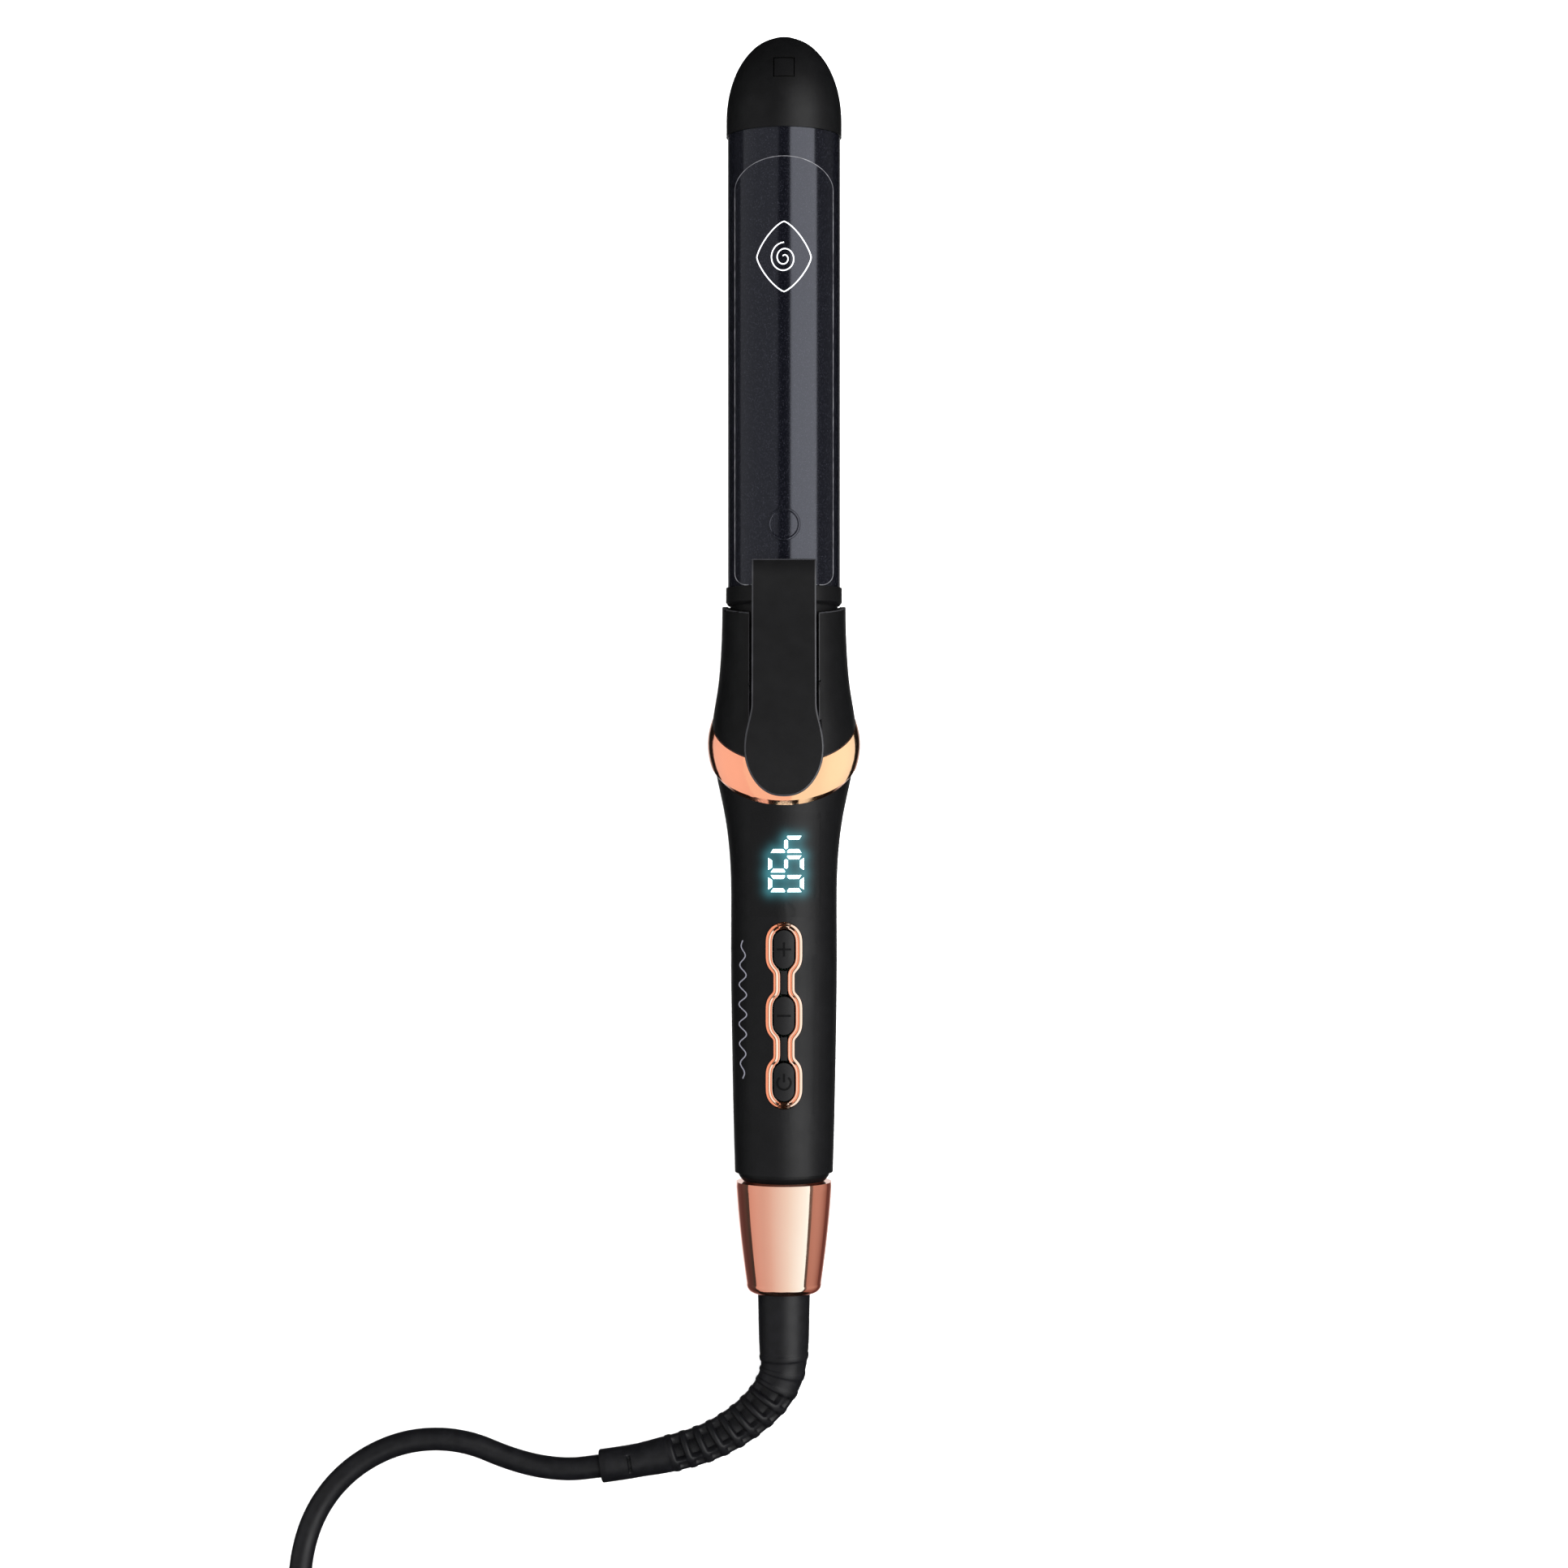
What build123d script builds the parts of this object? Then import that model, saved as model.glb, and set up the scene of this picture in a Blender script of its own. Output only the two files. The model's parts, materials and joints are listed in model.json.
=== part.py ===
from build123d import *
import math
import os

# A clip-type curling iron with a swivel cord, lying on its flip-out stand, clip side up. Millimetres.
# Every part of the iron is drawn in the iron's own frame: Y runs along the barrel to the tip, Z out of
# the clip side, X across. The whole iron is then tilted about X so that it rests on the stand's foot and
# the end collar. Cord, coil and plug are drawn in the final frame, where Z = 0 is the table.

# How the iron rests
rest_tilt = 7.5
axis_height = 29.17
length_shift = -33.05

# Barrel and tip
barrel_r = 16.0
barrel_wall = 1.0
barrel_low = 55.7
barrel_top = 183.9
barrel_bore_r = barrel_r - barrel_wall
cap_r = 16.4
cap_bore_r = 13.4
dome_low = 188.0
dome_top = 212.3
dome_fullness = 2.07
latch_size = 6.0
latch_y = 201.0
spreader_low = 88.0
spreader_high = 162.0

# Clip and thumb lever
clip_inner_r = 16.35
clip_sheet = 0.8
clip_half_width = 13.95
clip_low = 55.7
clip_side_top = 167.0
clip_apex = 175.5
tongue_half_width = 6.2
hinge_y = 45.0
hinge_z = 10.0
pin_r = 1.5
running_fit = 0.05
lever_half_width = 9.0
paddle_half_width = 10.95
lever_screw_ys = (40.6, 47.6)

# Handle body: radius and height of the outside, from the cord end to the rim
body_profile = [
    (13.95, -110.2),
    (14.56, -86.4),
    (15.07, -42.0),
    (15.3, -22.5),
    (17.03, -7.9),
    (19.0, 1.4),
    (20.35, 10.5),
    (20.3, 17.6),
    (19.0, 26.0),
    (17.9, 38.0),
    (17.58, 50.4),
]
shell_wall = 2.0
body_low = -110.2
rim_y = 50.4
rim_slope = 0.16
slot_half_width = 9.7
slot_end = 10.0

# Slanted accent ring
ring_slope = 0.61
ring_low = 4.85
ring_bevel = 6.95
ring_crest = 11.0
ring_top = 17.7
ring_proud = 1.35

# Button panel and display
button_pitch = 18.6
button_first = -46.3
lobe_length = 15.4
lobe_width = 10.4
neck_width = 5.8
band_width = 2.0
shell_screws = [(9.4, -70.0), (-9.4, -70.0), (9.4, -20.0), (-9.4, -20.0)]
bezel_proud = 0.5
key_gap = 0.35
key_travel = 0.8
display_low = -33.0
display_high = -12.0
display_half_width = 6.0
board_z = 3.0
board_thickness = 1.2
board_top = board_z + board_thickness
switch_top = board_top + 4.3

# Swivel and end collar
neck_r = 11.3
collar_top = -113.0
collar_end = -144.6
journal_r = 6.0

# Stand
stand_pin_y = 53.4
stand_pin_z = -18.6
stand_pin_r = 1.2
foot_half_width = 14.0

# Cord, coil and plug
cord_r = 3.25
tie_thickness = 1.0
coil_mean_r = 37.5
coil_half_width = 13.0
coil_height = 13.0
coil_x = -88.5
coil_y = -310.0
tail_heading = 30.0
tail_length = 46.0
plug_tail_length = 20.0
plug_length = 29.0
plug_width = 24.0
plug_height = 15.0
blade_spacing = 12.7

# Strain relief: its centre line bends from the collar to the table, in the final frame
relief_bend = [
    (-16.5, -217.6, 5.9),
    (-38.0, -223.6, 5.2),
    (-51.8, -225.4, 4.9),
]
relief_tail_r = 4.75
relief_ribs = 11
rib_first = 26.0
rib_pitch = 4.3
rib_first_r = 6.7
rib_shrink = 0.14

# The cord's route on the table, from the strain relief to the coil
cord_route = [
    (-51.8, -225.4, 4.9),
    (-62.5, -226.7, 4.1),
    (-76.0, -224.5, 3.3),
    (-92.5, -217.6, 3.3),
    (-110.5, -218.6, 3.3),
    (-126.5, -228.0, 3.3),
    (-136.2, -243.5, 3.3),
    (-138.0, -265.0, 3.6),
    (-136.3, -290.0, 4.1),
]

tilt = math.radians(rest_tilt)
placement = Location((0, length_shift, axis_height), (rest_tilt, 0, 0))


def placed_point(x, y, z):
    """A point of the iron's own frame in the final frame."""
    along = y * math.cos(tilt) - z * math.sin(tilt)
    up = y * math.sin(tilt) + z * math.cos(tilt)
    return Vector(x, along + length_shift, up + axis_height)


def span(x_low, x_high, y_low, y_high, z_low, z_high):
    """A box between two corners."""
    size = (x_high - x_low, y_high - y_low, z_high - z_low)
    centre = ((x_high + x_low) / 2, (y_high + y_low) / 2, (z_high + z_low) / 2)
    return Location(centre) * Box(*size)


def turned(points):
    """A closed straight-sided outline of (radius, y) points turned about the barrel's axis."""
    return revolve(make_face(Polyline(*points, close=True)), Axis.Y)


def tube(outer, inner, y_low, y_high):
    """A ring or tube about the barrel's axis."""
    return turned([(inner, y_low), (outer, y_low), (outer, y_high), (inner, y_high)])


def rod(radius, y_low, y_high, x=0.0, z=0.0):
    """A cylinder along Y."""
    lying = Location((x, (y_low + y_high) / 2, z), (90, 0, 0))
    return lying * Cylinder(radius, y_high - y_low)


def cross_rod(radius, x_low, x_high, y, z):
    """A cylinder along X."""
    return Location(((x_low + x_high) / 2, y, z), (0, 90, 0)) * Cylinder(radius, x_high - x_low)


def post(radius, x, y, z_low, z_high):
    """A cylinder along Z."""
    return Location((x, y, (z_low + z_high) / 2)) * Cylinder(radius, z_high - z_low)


def body_solid(grow):
    """The handle's outside, grown or shrunk in radius, closed to the axis."""
    side = Spline(*[(radius + grow, y) for radius, y in body_profile])
    outline = [
        side,
        Line(side @ 1, (0, body_profile[-1][1])),
        Line((0, body_profile[-1][1]), (0, body_low)),
        Line((0, body_low), side @ 0),
    ]
    return revolve(make_face(Wire(outline)), Axis.Y)


def body_skin(outer_grow, thickness):
    """A shell that follows the handle's outside."""
    return body_solid(outer_grow) - body_solid(outer_grow - thickness)


def slanted(low, high):
    """The slab between two slanted planes, each where y + ring_slope * z equals the value given."""
    angle = math.degrees(math.atan(ring_slope))
    scale = math.cos(math.radians(angle))
    slab = span(-40, 40, low * scale, high * scale, -80, 80)
    return Location((0, 0, 0), (angle, 0, 0)) * slab


# Barrel and tip


def dome_side(shrink):
    """Outside of the cap from its cylinder to the apex, slightly fuller than an ellipse."""
    width = cap_r - shrink
    height = dome_top - shrink - dome_low
    points = []
    for step in range(9):
        turn = math.radians(90 * step / 8)
        across = abs(math.cos(turn)) ** (2 / dome_fullness) if step < 8 else 0.0
        up = math.sin(turn) ** (2 / dome_fullness)
        points.append((width * across, dome_low + height * up))
    return Spline(*points, tangents=[(0, 1), (-1, 0)])


def make_tip_cap():
    side = dome_side(0)
    outline = Wire([
        side,
        Line(side @ 1, (0, dome_top - 2.4)),
        Line((0, dome_top - 2.4), (7.0, dome_top - 5.5)),
        Line((7.0, dome_top - 5.5), (cap_bore_r, dome_low + 7)),
        Line((cap_bore_r, dome_low + 7), (cap_bore_r, barrel_top - 8)),
        Line((cap_bore_r, barrel_top - 8), (barrel_bore_r, barrel_top - 8)),
        Line((barrel_bore_r, barrel_top - 8), (barrel_bore_r, barrel_top)),
        Line((barrel_bore_r, barrel_top), (cap_r, barrel_top)),
        Line((cap_r, barrel_top), side @ 0),
    ])
    return revolve(make_face(outline), Axis.Y) - latch_window(0.0)


def latch_window(gap):
    reach = latch_size / 2 - gap
    return span(-reach, reach, latch_y - reach, latch_y + reach, 5, 20)


def make_tip_plug():
    """Insulating plug under the cap, with the snap tab that shows in the cap's window."""
    side = dome_side(0.15)
    dome = revolve(
        make_face(Wire([
            side,
            Line(side @ 1, (0, dome_low)),
            Line((0, dome_low), side @ 0),
        ])),
        Axis.Y,
    )
    tab = dome & latch_window(0.25) & span(-10, 10, 190, 215, 5.5, 20)
    arm = span(-2.5, 2.5, 174, 199, 5.5, 7.0)
    return tab + arm + rod(13.2, 173, 177)


def make_barrel_tube():
    return tube(barrel_r, barrel_bore_r, barrel_low, barrel_top)


def make_heat_spreader(side):
    """One of two extruded aluminium halves that press the heater against the barrel."""
    half = tube(barrel_bore_r, barrel_bore_r - 1.3, spreader_low, spreader_high)
    half &= span(-20, 20, spreader_low, spreader_high, 0.4, 20)
    rib = span(-9.0, 9.0, spreader_low, spreader_high, 1.6, 3.2)
    webs = span(-9.0, -7.5, spreader_low, spreader_high, 3.0, 13.0)
    webs += span(7.5, 9.0, spreader_low, spreader_high, 3.0, 13.0)
    webs &= rod(barrel_bore_r - 0.5, spreader_low, spreader_high)
    solid = half + rib + webs
    return solid if side > 0 else mirror(solid, Plane.XY)


def make_heater_plate():
    return span(-6.0, 6.0, spreader_low + 4, spreader_high - 4, -0.9, 0.9)


def make_heater_film():
    sleeve = span(-7.0, 7.0, spreader_low + 2, spreader_high - 2, -1.55, 1.55)
    return sleeve - span(-6.0, 6.0, 60, 200, -0.9, 0.9)


def make_temperature_sensor():
    return rod(1.0, 120, 126, 0, 4.4) + rod(0.5, 67, 120, 0, 4.4)


def make_thermal_fuse():
    return rod(1.7, 8, 20, -2.5, 0)


# Base of the barrel, clip hinge


def make_barrel_base():
    """Heat-resistant socket between the barrel and the handle, with the clip's hinge pocket."""
    base = turned([
        (12.4, 30.0),
        (16.3, 30.0),
        (16.3, 33.5),
        (14.3, 34.5),
        (15.3, 50.6),
        (15.8, 50.6),
        (16.5, 51.5),
        (16.5, barrel_low),
        (barrel_bore_r, barrel_low),
        (barrel_bore_r, 66.0),
        (12.4, 66.0),
    ])
    base += span(-12.0, 12.0, 39.5, 50.5, 3.2, 5.2)
    base -= span(-7.2, 7.2, 35.5, 51.0, 5.2, 20)
    for x in (-6.3, 6.3):
        lug = span(x - 1.2, x + 1.2, stand_pin_y - 2.1, stand_pin_y + 2.1, stand_pin_z, -14.2)
        base += lug + cross_rod(2.1, x - 1.2, x + 1.2, stand_pin_y, stand_pin_z)
    return base - cross_rod(stand_pin_r, -9, 9, stand_pin_y, stand_pin_z)


def make_hinge_bracket():
    """Bent steel bracket that holds the clip's pin."""
    bracket = span(-4.6, 4.6, hinge_y - 3.5, hinge_y + 3.5, 5.2, 6.2)
    for x in (-4.0, 4.0):
        bracket += span(x - 0.6, x + 0.6, hinge_y - 3, hinge_y + 3, 5.2, hinge_z)
        bracket += cross_rod(3.0, x - 0.6, x + 0.6, hinge_y, hinge_z)
    return bracket - cross_rod(pin_r, -9, 9, hinge_y, hinge_z)


def make_hinge_pin():
    return cross_rod(pin_r, -6.9, 6.9, hinge_y, hinge_z)


def make_clip_spring():
    """Torsion spring round the hinge pin, one leg on the base and one under the tongue."""
    wire_r = 0.45
    coil_r = 2.25
    path = Helix(pitch=1.2, height=4.8, radius=coil_r)
    start = Plane(origin=path @ 0, z_dir=path % 0)
    coil = sweep(start * Circle(wire_r), path)
    coil = Location((-2.4, hinge_y, hinge_z), (0, 90, 0)) * coil
    low_leg = rod(wire_r, hinge_y - 8, hinge_y, -2.4, hinge_z - coil_r)
    rise = Plane(origin=(2.4, hinge_y - 1.0, hinge_z + coil_r - 0.5), z_dir=(0, 0.81, 0.59))
    high_leg = extrude(rise * Circle(wire_r), 7.2)
    return coil + low_leg + high_leg


def make_clip_plate():
    """Curved clip, with a tongue behind it and two ears that turn on the hinge pin."""
    outer_r = clip_inner_r + clip_sheet
    sheet = tube(outer_r, clip_inner_r, clip_low, clip_apex)
    crown = EllipticalCenterArc(
        (0, clip_side_top), clip_half_width, clip_apex - clip_side_top, 0, arc_size=180
    )
    plan = make_face(Wire([
        crown,
        Line((-clip_half_width, clip_side_top), (-clip_half_width, clip_low)),
        Line((-clip_half_width, clip_low), (clip_half_width, clip_low)),
        Line((clip_half_width, clip_low), (clip_half_width, clip_side_top)),
    ]))
    corners = plan.vertices().group_by(Axis.Y)[0]
    plan = fillet(corners, 3.5)
    clip = sheet & extrude(plan, 20)
    tongue = tube(17.95, 16.85, 38.0, 63.0)
    clip += tongue & span(-tongue_half_width, tongue_half_width, 38, 63, 5, 20)
    for side in (-1, 1):
        x = side * (tongue_half_width - 0.6)
        ear = span(x - 0.6, x + 0.6, hinge_y - 2.9, hinge_y + 2.9, hinge_z, 16.6)
        clip += ear + cross_rod(2.9, x - 0.6, x + 0.6, hinge_y, hinge_z)
    clip -= cross_rod(pin_r + running_fit, -9, 9, hinge_y, hinge_z)
    for y in lever_screw_ys:
        clip -= post(1.2, 0, y, 15, 20)
    return clip


def make_lever_screws():
    screws = [
        post(2.0, 0, y, 15.95, 16.75) + post(1.1, 0, y, 16.75, 21.5) for y in lever_screw_ys
    ]
    return Compound(children=[screw.solid() for screw in screws])


def make_thumb_lever():
    """Lever fixed on the clip's tongue: a straight stem that flares to a rounded paddle."""
    flare = Spline(
        (lever_half_width, 22.5),
        (9.8, 17.4),
        (paddle_half_width, 10.4),
        (9.5, 3.2),
        (5.4, -1.9),
        (0, -3.4),
        tangents=[(0, -1), (-1, 0)],
    )
    right = [
        Line((0, 62.8), (lever_half_width, 62.8)),
        Line((lever_half_width, 62.8), (lever_half_width, 22.5)),
        flare,
        Line((0, -3.4), (0, 62.8)),
    ]
    half = extrude(make_face(Wire(right)), 40)
    plan = half + mirror(half, Plane.YZ)
    top = Spline((59.6, 20.6), (45.0, 23.6), (20.0, 29.9), (2.0, 33.4), (-4.0, 33.9))
    under = Spline((22.0, 25.6), (16.0, 28.9), (6.0, 31.0), (-4.0, 31.4))
    side = Wire([
        Line((62.8, 12.0), (62.8, 19.0)),
        Line((62.8, 19.0), (59.6, 20.6)),
        top,
        Line((-4.0, 33.9), (-4.0, 31.4)),
        under,
        Line((22.0, 25.6), (50.0, 14.0)),
        Line((50.0, 14.0), (50.0, 12.0)),
        Line((50.0, 12.0), (62.8, 12.0)),
    ])
    profile = Plane.YZ * make_face(side)
    lever = plan & extrude(profile, 20, both=True)
    lever -= rod(17.2, 30, 70)
    lever -= span(-6.35, 6.35, 37.7, 63.2, 0, 18) & rod(18.0, 37.7, 63.2)
    for y in lever_screw_ys:
        lever -= post(1.1, 0, y, 15, 21.5)
    return lever


# Handle


def make_upper_housing():
    """Shell above the accent ring, slotted for the thumb lever."""
    housing = body_skin(0, 1.8) & slanted(ring_top, 120)
    angle = math.degrees(math.atan(rim_slope))
    above_rim = Location((0, rim_y, 0), (angle, 0, 0)) * span(-30, 30, 0, 40, 0, 60)
    housing -= above_rim
    housing -= span(-slot_half_width, slot_half_width, slot_end, 80, 0, 40)
    return housing


def slanted_section(height, grow):
    """The handle's cross-section on one slanted plane, grown by the amount given."""
    plane = Plane(origin=(0, height, 0), x_dir=(1, 0, 0), z_dir=(0, 1, ring_slope))
    return (body_solid(grow) & (plane * Rectangle(90, 90))).face()


def make_accent_ring():
    """Slanted plated ring: a crowned band with a bevel along its lower edge."""
    band = loft([
        slanted_section(ring_bevel, ring_proud - 0.1),
        slanted_section(ring_crest, ring_proud),
        slanted_section(ring_top, 0.1),
    ])
    bevel = loft([
        slanted_section(ring_low, 0.1),
        slanted_section(ring_bevel, ring_proud - 0.1),
    ])
    return band + bevel - body_solid(-1.8)


def make_handle_half(side):
    """One of two shells, with half of each screw's boss."""
    shell = body_skin(0, shell_wall) & slanted(-200, ring_low)
    shell += tube(13.2, 8.2, body_low, body_low + 2.0)
    for x, y in shell_screws:
        shell += post(2.6, x, y, -12, 8) & body_solid(-0.3)
        shell -= post(1.1, x, y, -20, 6)
        shell -= post(2.1, x, y, -20, -9)
    half_space = span(-30, 30, -130, 30, 0, 40) if side > 0 else span(-30, 30, -130, 30, -40, 0)
    return shell & half_space


def make_shell_screws():
    screws = [post(2.0, x, y, -10.6, -9) + post(1.1, x, y, -9, 6) for x, y in shell_screws]
    return Compound(children=[screw.solid() for screw in screws])


def chain_outline(shrink):
    """Three linked lobes, as one face, shrunk all round by the amount given."""
    middle = button_first - button_pitch
    strip = Location((0, middle)) * Rectangle(neck_width - 2 * shrink, 2 * button_pitch)
    outline = strip
    for count in range(3):
        outline += lobe_outline(count, shrink)
    return outline


def lobe_outline(count, shrink):
    centre = Location((0, button_first - count * button_pitch), (0, 0, 90))
    return centre * SlotOverall(lobe_length - 2 * shrink, lobe_width - 2 * shrink)


def make_handle_front():
    shell = make_handle_half(1)
    shell -= extrude(chain_outline(0), 30)
    shell -= span(-display_half_width, display_half_width, display_low, display_high, 5, 30)
    return shell


def make_handle_rear():
    return make_handle_half(-1)


def make_button_bezel():
    ring = chain_outline(0) - chain_outline(band_width)
    return body_skin(bezel_proud, 2.2) & extrude(ring, 30)


def make_key_web():
    """Fixed membrane between the keys, in the necks of the bezel."""
    web = chain_outline(band_width)
    for count in range(3):
        web -= lobe_outline(count, band_width - key_gap)
    return body_skin(-0.3, 1.3) & extrude(web, 30)


def make_button(count):
    """A key with its stem over the switch."""
    y = button_first - count * button_pitch
    key = extrude(lobe_outline(count, band_width + key_gap), 30) & body_skin(0.05, 2.6)
    stem = post(1.8, 0, y, switch_top + key_travel + 0.35, 13.6)
    return key + stem


def make_tact_switches():
    switches = []
    for count in range(3):
        y = button_first - count * button_pitch
        switch = span(-3, 3, y - 3, y + 3, board_top, board_top + 3.4)
        switches.append(switch + post(1.7, 0, y, board_top + 3.4, switch_top))
    return Compound(children=[switch.solid() for switch in switches])


def make_display_lens():
    window = span(-display_half_width, display_half_width, display_low, display_high, 5, 30)
    return body_skin(0, 1.6) & window


def make_display_module():
    return span(-5.5, 5.5, display_low + 1.0, display_high - 1.0, board_top, board_top + 6.6)


def make_control_board():
    return span(-6.8, 6.8, -93, -8, board_z, board_top)


def make_board_parts():
    """Supply capacitor, filter choke and switching element under the board."""
    capacitor = span(-5.5, 5.5, -90, -77, board_z - 7.5, board_z)
    choke = post(4.2, 0, -58, board_z - 6.5, board_z)
    triac = span(-5, 5, -48, -44, board_z - 9.0, board_z)
    return Compound(children=[capacitor.solid(), choke.solid(), triac.solid()])


def make_heater_wires():
    """Leads from the board to the heater, one through the thermal fuse, and the sensor's lead."""
    low = -9.0
    wires = [
        rod(0.85, low, spreader_low + 4, 2.5, 0) + post(0.85, 2.5, low, 0, board_z),
        rod(0.85, low, 8, -2.5, 0) + post(0.85, -2.5, low, 0, board_z),
        rod(0.85, 20, spreader_low + 4, -2.5, 0),
        rod(0.5, low, 71, 5.8, 0) + post(0.5, 5.8, low, 0, board_z),
    ]
    return Compound(children=[wire.solid() for wire in wires])


# Swivel, collar and stand


def make_swivel_bush():
    """Bearing for the swivel, fixed between the handle shells and the collar."""
    bore = journal_r + running_fit
    return turned([
        (bore, -112.9),
        (neck_r, -112.9),
        (neck_r, -110.2),
        (8.2, -110.2),
        (8.2, -106.5),
        (bore, -106.5),
    ]) + turned([
        (bore, -126.0),
        (11.0, -126.0),
        (11.2, -112.9),
        (bore, -112.9),
    ])


def make_end_collar():
    """Plated end collar, tapering to the cord."""
    outline = make_face(Wire([
        Line((11.3, collar_top), (13.67, collar_top)),
        Spline(
            (13.67, collar_top),
            (12.92, -123.4),
            (11.91, -132.6),
            (10.65, -141.9),
        ),
        ThreePointArc((10.65, -141.9), (10.0, -143.9), (8.6, collar_end)),
        Line((8.6, collar_end), (7.9, collar_end)),
        Line((7.9, collar_end), (7.9, -141.0)),
        Line((7.9, -141.0), (9.3, -139.0)),
        Line((9.3, -139.0), (11.3, -126.0)),
        Line((11.3, -126.0), (11.3, collar_top)),
    ]))
    return revolve(outline, Axis.Y)


def make_swivel_core():
    """Spool on the cord's end that turns in the bush."""
    return turned([
        (2.6, -138.0),
        (7.2, -138.0),
        (7.2, -126.4),
        (journal_r, -126.4),
        (journal_r, -106.1),
        (7.4, -106.1),
        (7.4, -104.6),
        (4.6, -104.6),
        (4.6, -94.0),
        (2.6, -94.0),
    ])


def make_slip_rings():
    rings = [tube(5.4, 4.6, y - 1.4, y + 1.4) for y in (-101.6, -97.0)]
    return Compound(children=[ring.solid() for ring in rings])


def make_brush_contacts():
    """Two sprung contacts, each from one slip ring to the board."""
    contacts = []
    for x, ring_y in ((-2.75, -101.6), (2.75, -97.0)):
        strip = span(x - 0.75, x + 0.75, ring_y - 1, -91.5, -7.4, -6.9)
        nose = span(x - 0.75, x + 0.75, ring_y - 1, ring_y + 1, -6.9, -5.6)
        riser = span(x - 0.75, x + 0.75, -92, -91.5, -7.4, board_z)
        contacts.append(strip + nose + riser)
    return Compound(children=[contact.solid() for contact in contacts])


def make_stand_pin():
    return cross_rod(stand_pin_r, -11.6, 11.6, stand_pin_y, stand_pin_z)


def make_stand():
    """Flip-out foot in the final frame: two arms on the pin and a flat bar on the table."""
    stand = span(-foot_half_width, foot_half_width, foot_y - 3.2, foot_y + 3.2, 0, 2.4)
    for x in (-9.7, 9.7):
        outline = Polyline(
            (stand_pin.Y - 2.2, stand_pin.Z),
            (stand_pin.Y + 2.2, stand_pin.Z),
            (foot_y + 3.0, 0.2),
            (foot_y - 3.0, 0.2),
            close=True,
        )
        arm = extrude(Plane.YZ * make_face(outline), 1.2, both=True)
        stand += Location((x, 0, 0)) * arm
        stand += cross_rod(2.2, x - 1.2, x + 1.2, stand_pin.Y, stand_pin.Z)
    hole_r = stand_pin_r + running_fit
    return stand - cross_rod(hole_r, -14, 14, stand_pin.Y, stand_pin.Z)


stand_pin = placed_point(0, stand_pin_y, stand_pin_z)
foot_y = stand_pin.Y - 3.0


# Cord


def rounded_path(points, share=0.45):
    """Straight runs joined by the largest arcs that the runs allow."""
    radii = []
    for before, corner, after in zip(points, points[1:], points[2:]):
        into = Vector(*corner) - Vector(*before)
        out = Vector(*after) - Vector(*corner)
        turn = math.radians(into.get_angle(out))
        radii.append(share * min(into.length, out.length) / math.tan(turn / 2))
    return FilletPolyline(*points, radius=radii)


def swept_round(path, radius):
    start = Plane(origin=path @ 0, z_dir=path % 0)
    return sweep(start * Circle(radius), path)


def make_strain_relief():
    """Flexible sleeve from the swivel to the cord, with ribs where it bends."""
    start = placed_point(0, -138.0, 0)
    corner = placed_point(0, -171.0, 0)
    path = rounded_path([tuple(start), tuple(corner)] + relief_bend)
    relief = swept_round(path, relief_tail_r)
    sleeve = turned([
        (0, -138.0),
        (7.0, -138.0),
        (7.4, -144.6),
        (7.15, -161.0),
        (0, -161.0),
    ])
    relief += placement * sleeve
    length = path.length
    for count in range(relief_ribs):
        share = (rib_first + rib_pitch * count) / length
        spot = Plane(origin=path @ share, z_dir=path % share)
        relief += extrude(spot * Circle(rib_first_r - rib_shrink * count), 1.1, both=True)
    return relief


def make_coil():
    """Outer shape of the put-away turns, a ring round the coil's centre."""
    inner_r = coil_mean_r - coil_half_width
    outer_r = coil_mean_r + coil_half_width
    section = Location((coil_mean_r, coil_height / 2)) * RectangleRounded(
        outer_r - inner_r, coil_height, cord_r - 0.1
    )
    ring = revolve(Plane.XZ * section, Axis.Z)
    return Location((coil_x, coil_y, tie_thickness)) * ring


def make_coil_tie():
    """Strap round the coil's turns."""
    half = coil_half_width + tie_thickness
    block = Location((coil_x + coil_mean_r, coil_y, coil_height / 2 + tie_thickness)) * Box(
        2 * half, 12.0, coil_height + 2 * tie_thickness
    )
    block = fillet(block.edges().filter_by(Axis.Y), 3.6)
    return block - make_coil()


def coil_point(angle, radius, height):
    turn = math.radians(angle)
    return Vector(coil_x + radius * math.cos(turn), coil_y + radius * math.sin(turn), height)


def make_cord_tube():
    return swept_round(rounded_path(cord_route), cord_r) - make_coil()


def tail_point(along, height):
    start = coil_point(tail_heading - 90, coil_mean_r + coil_half_width - cord_r, 0)
    heading = math.radians(tail_heading)
    step = Vector(math.cos(heading), math.sin(heading), 0) * along
    return Vector(start.X + step.X, start.Y + step.Y, height)


def make_cord_tail():
    """The cord from the coil's top turn down to the plug."""
    top = tie_thickness + coil_height - cord_r
    axis_z = plug_height / 2
    points = [
        tail_point(8.0, top),
        tail_point(20.0, top - 0.3),
        tail_point(34.0, axis_z + 0.4),
        tail_point(tail_length, axis_z),
    ]
    path = rounded_path([tuple(point) for point in points])
    return swept_round(path, cord_r) - make_coil()


def plug_frame():
    """The plug's own frame: X from the cord's end to the blades."""
    return Location(tuple(tail_point(tail_length, plug_height / 2)), (0, 0, tail_heading))


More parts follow.
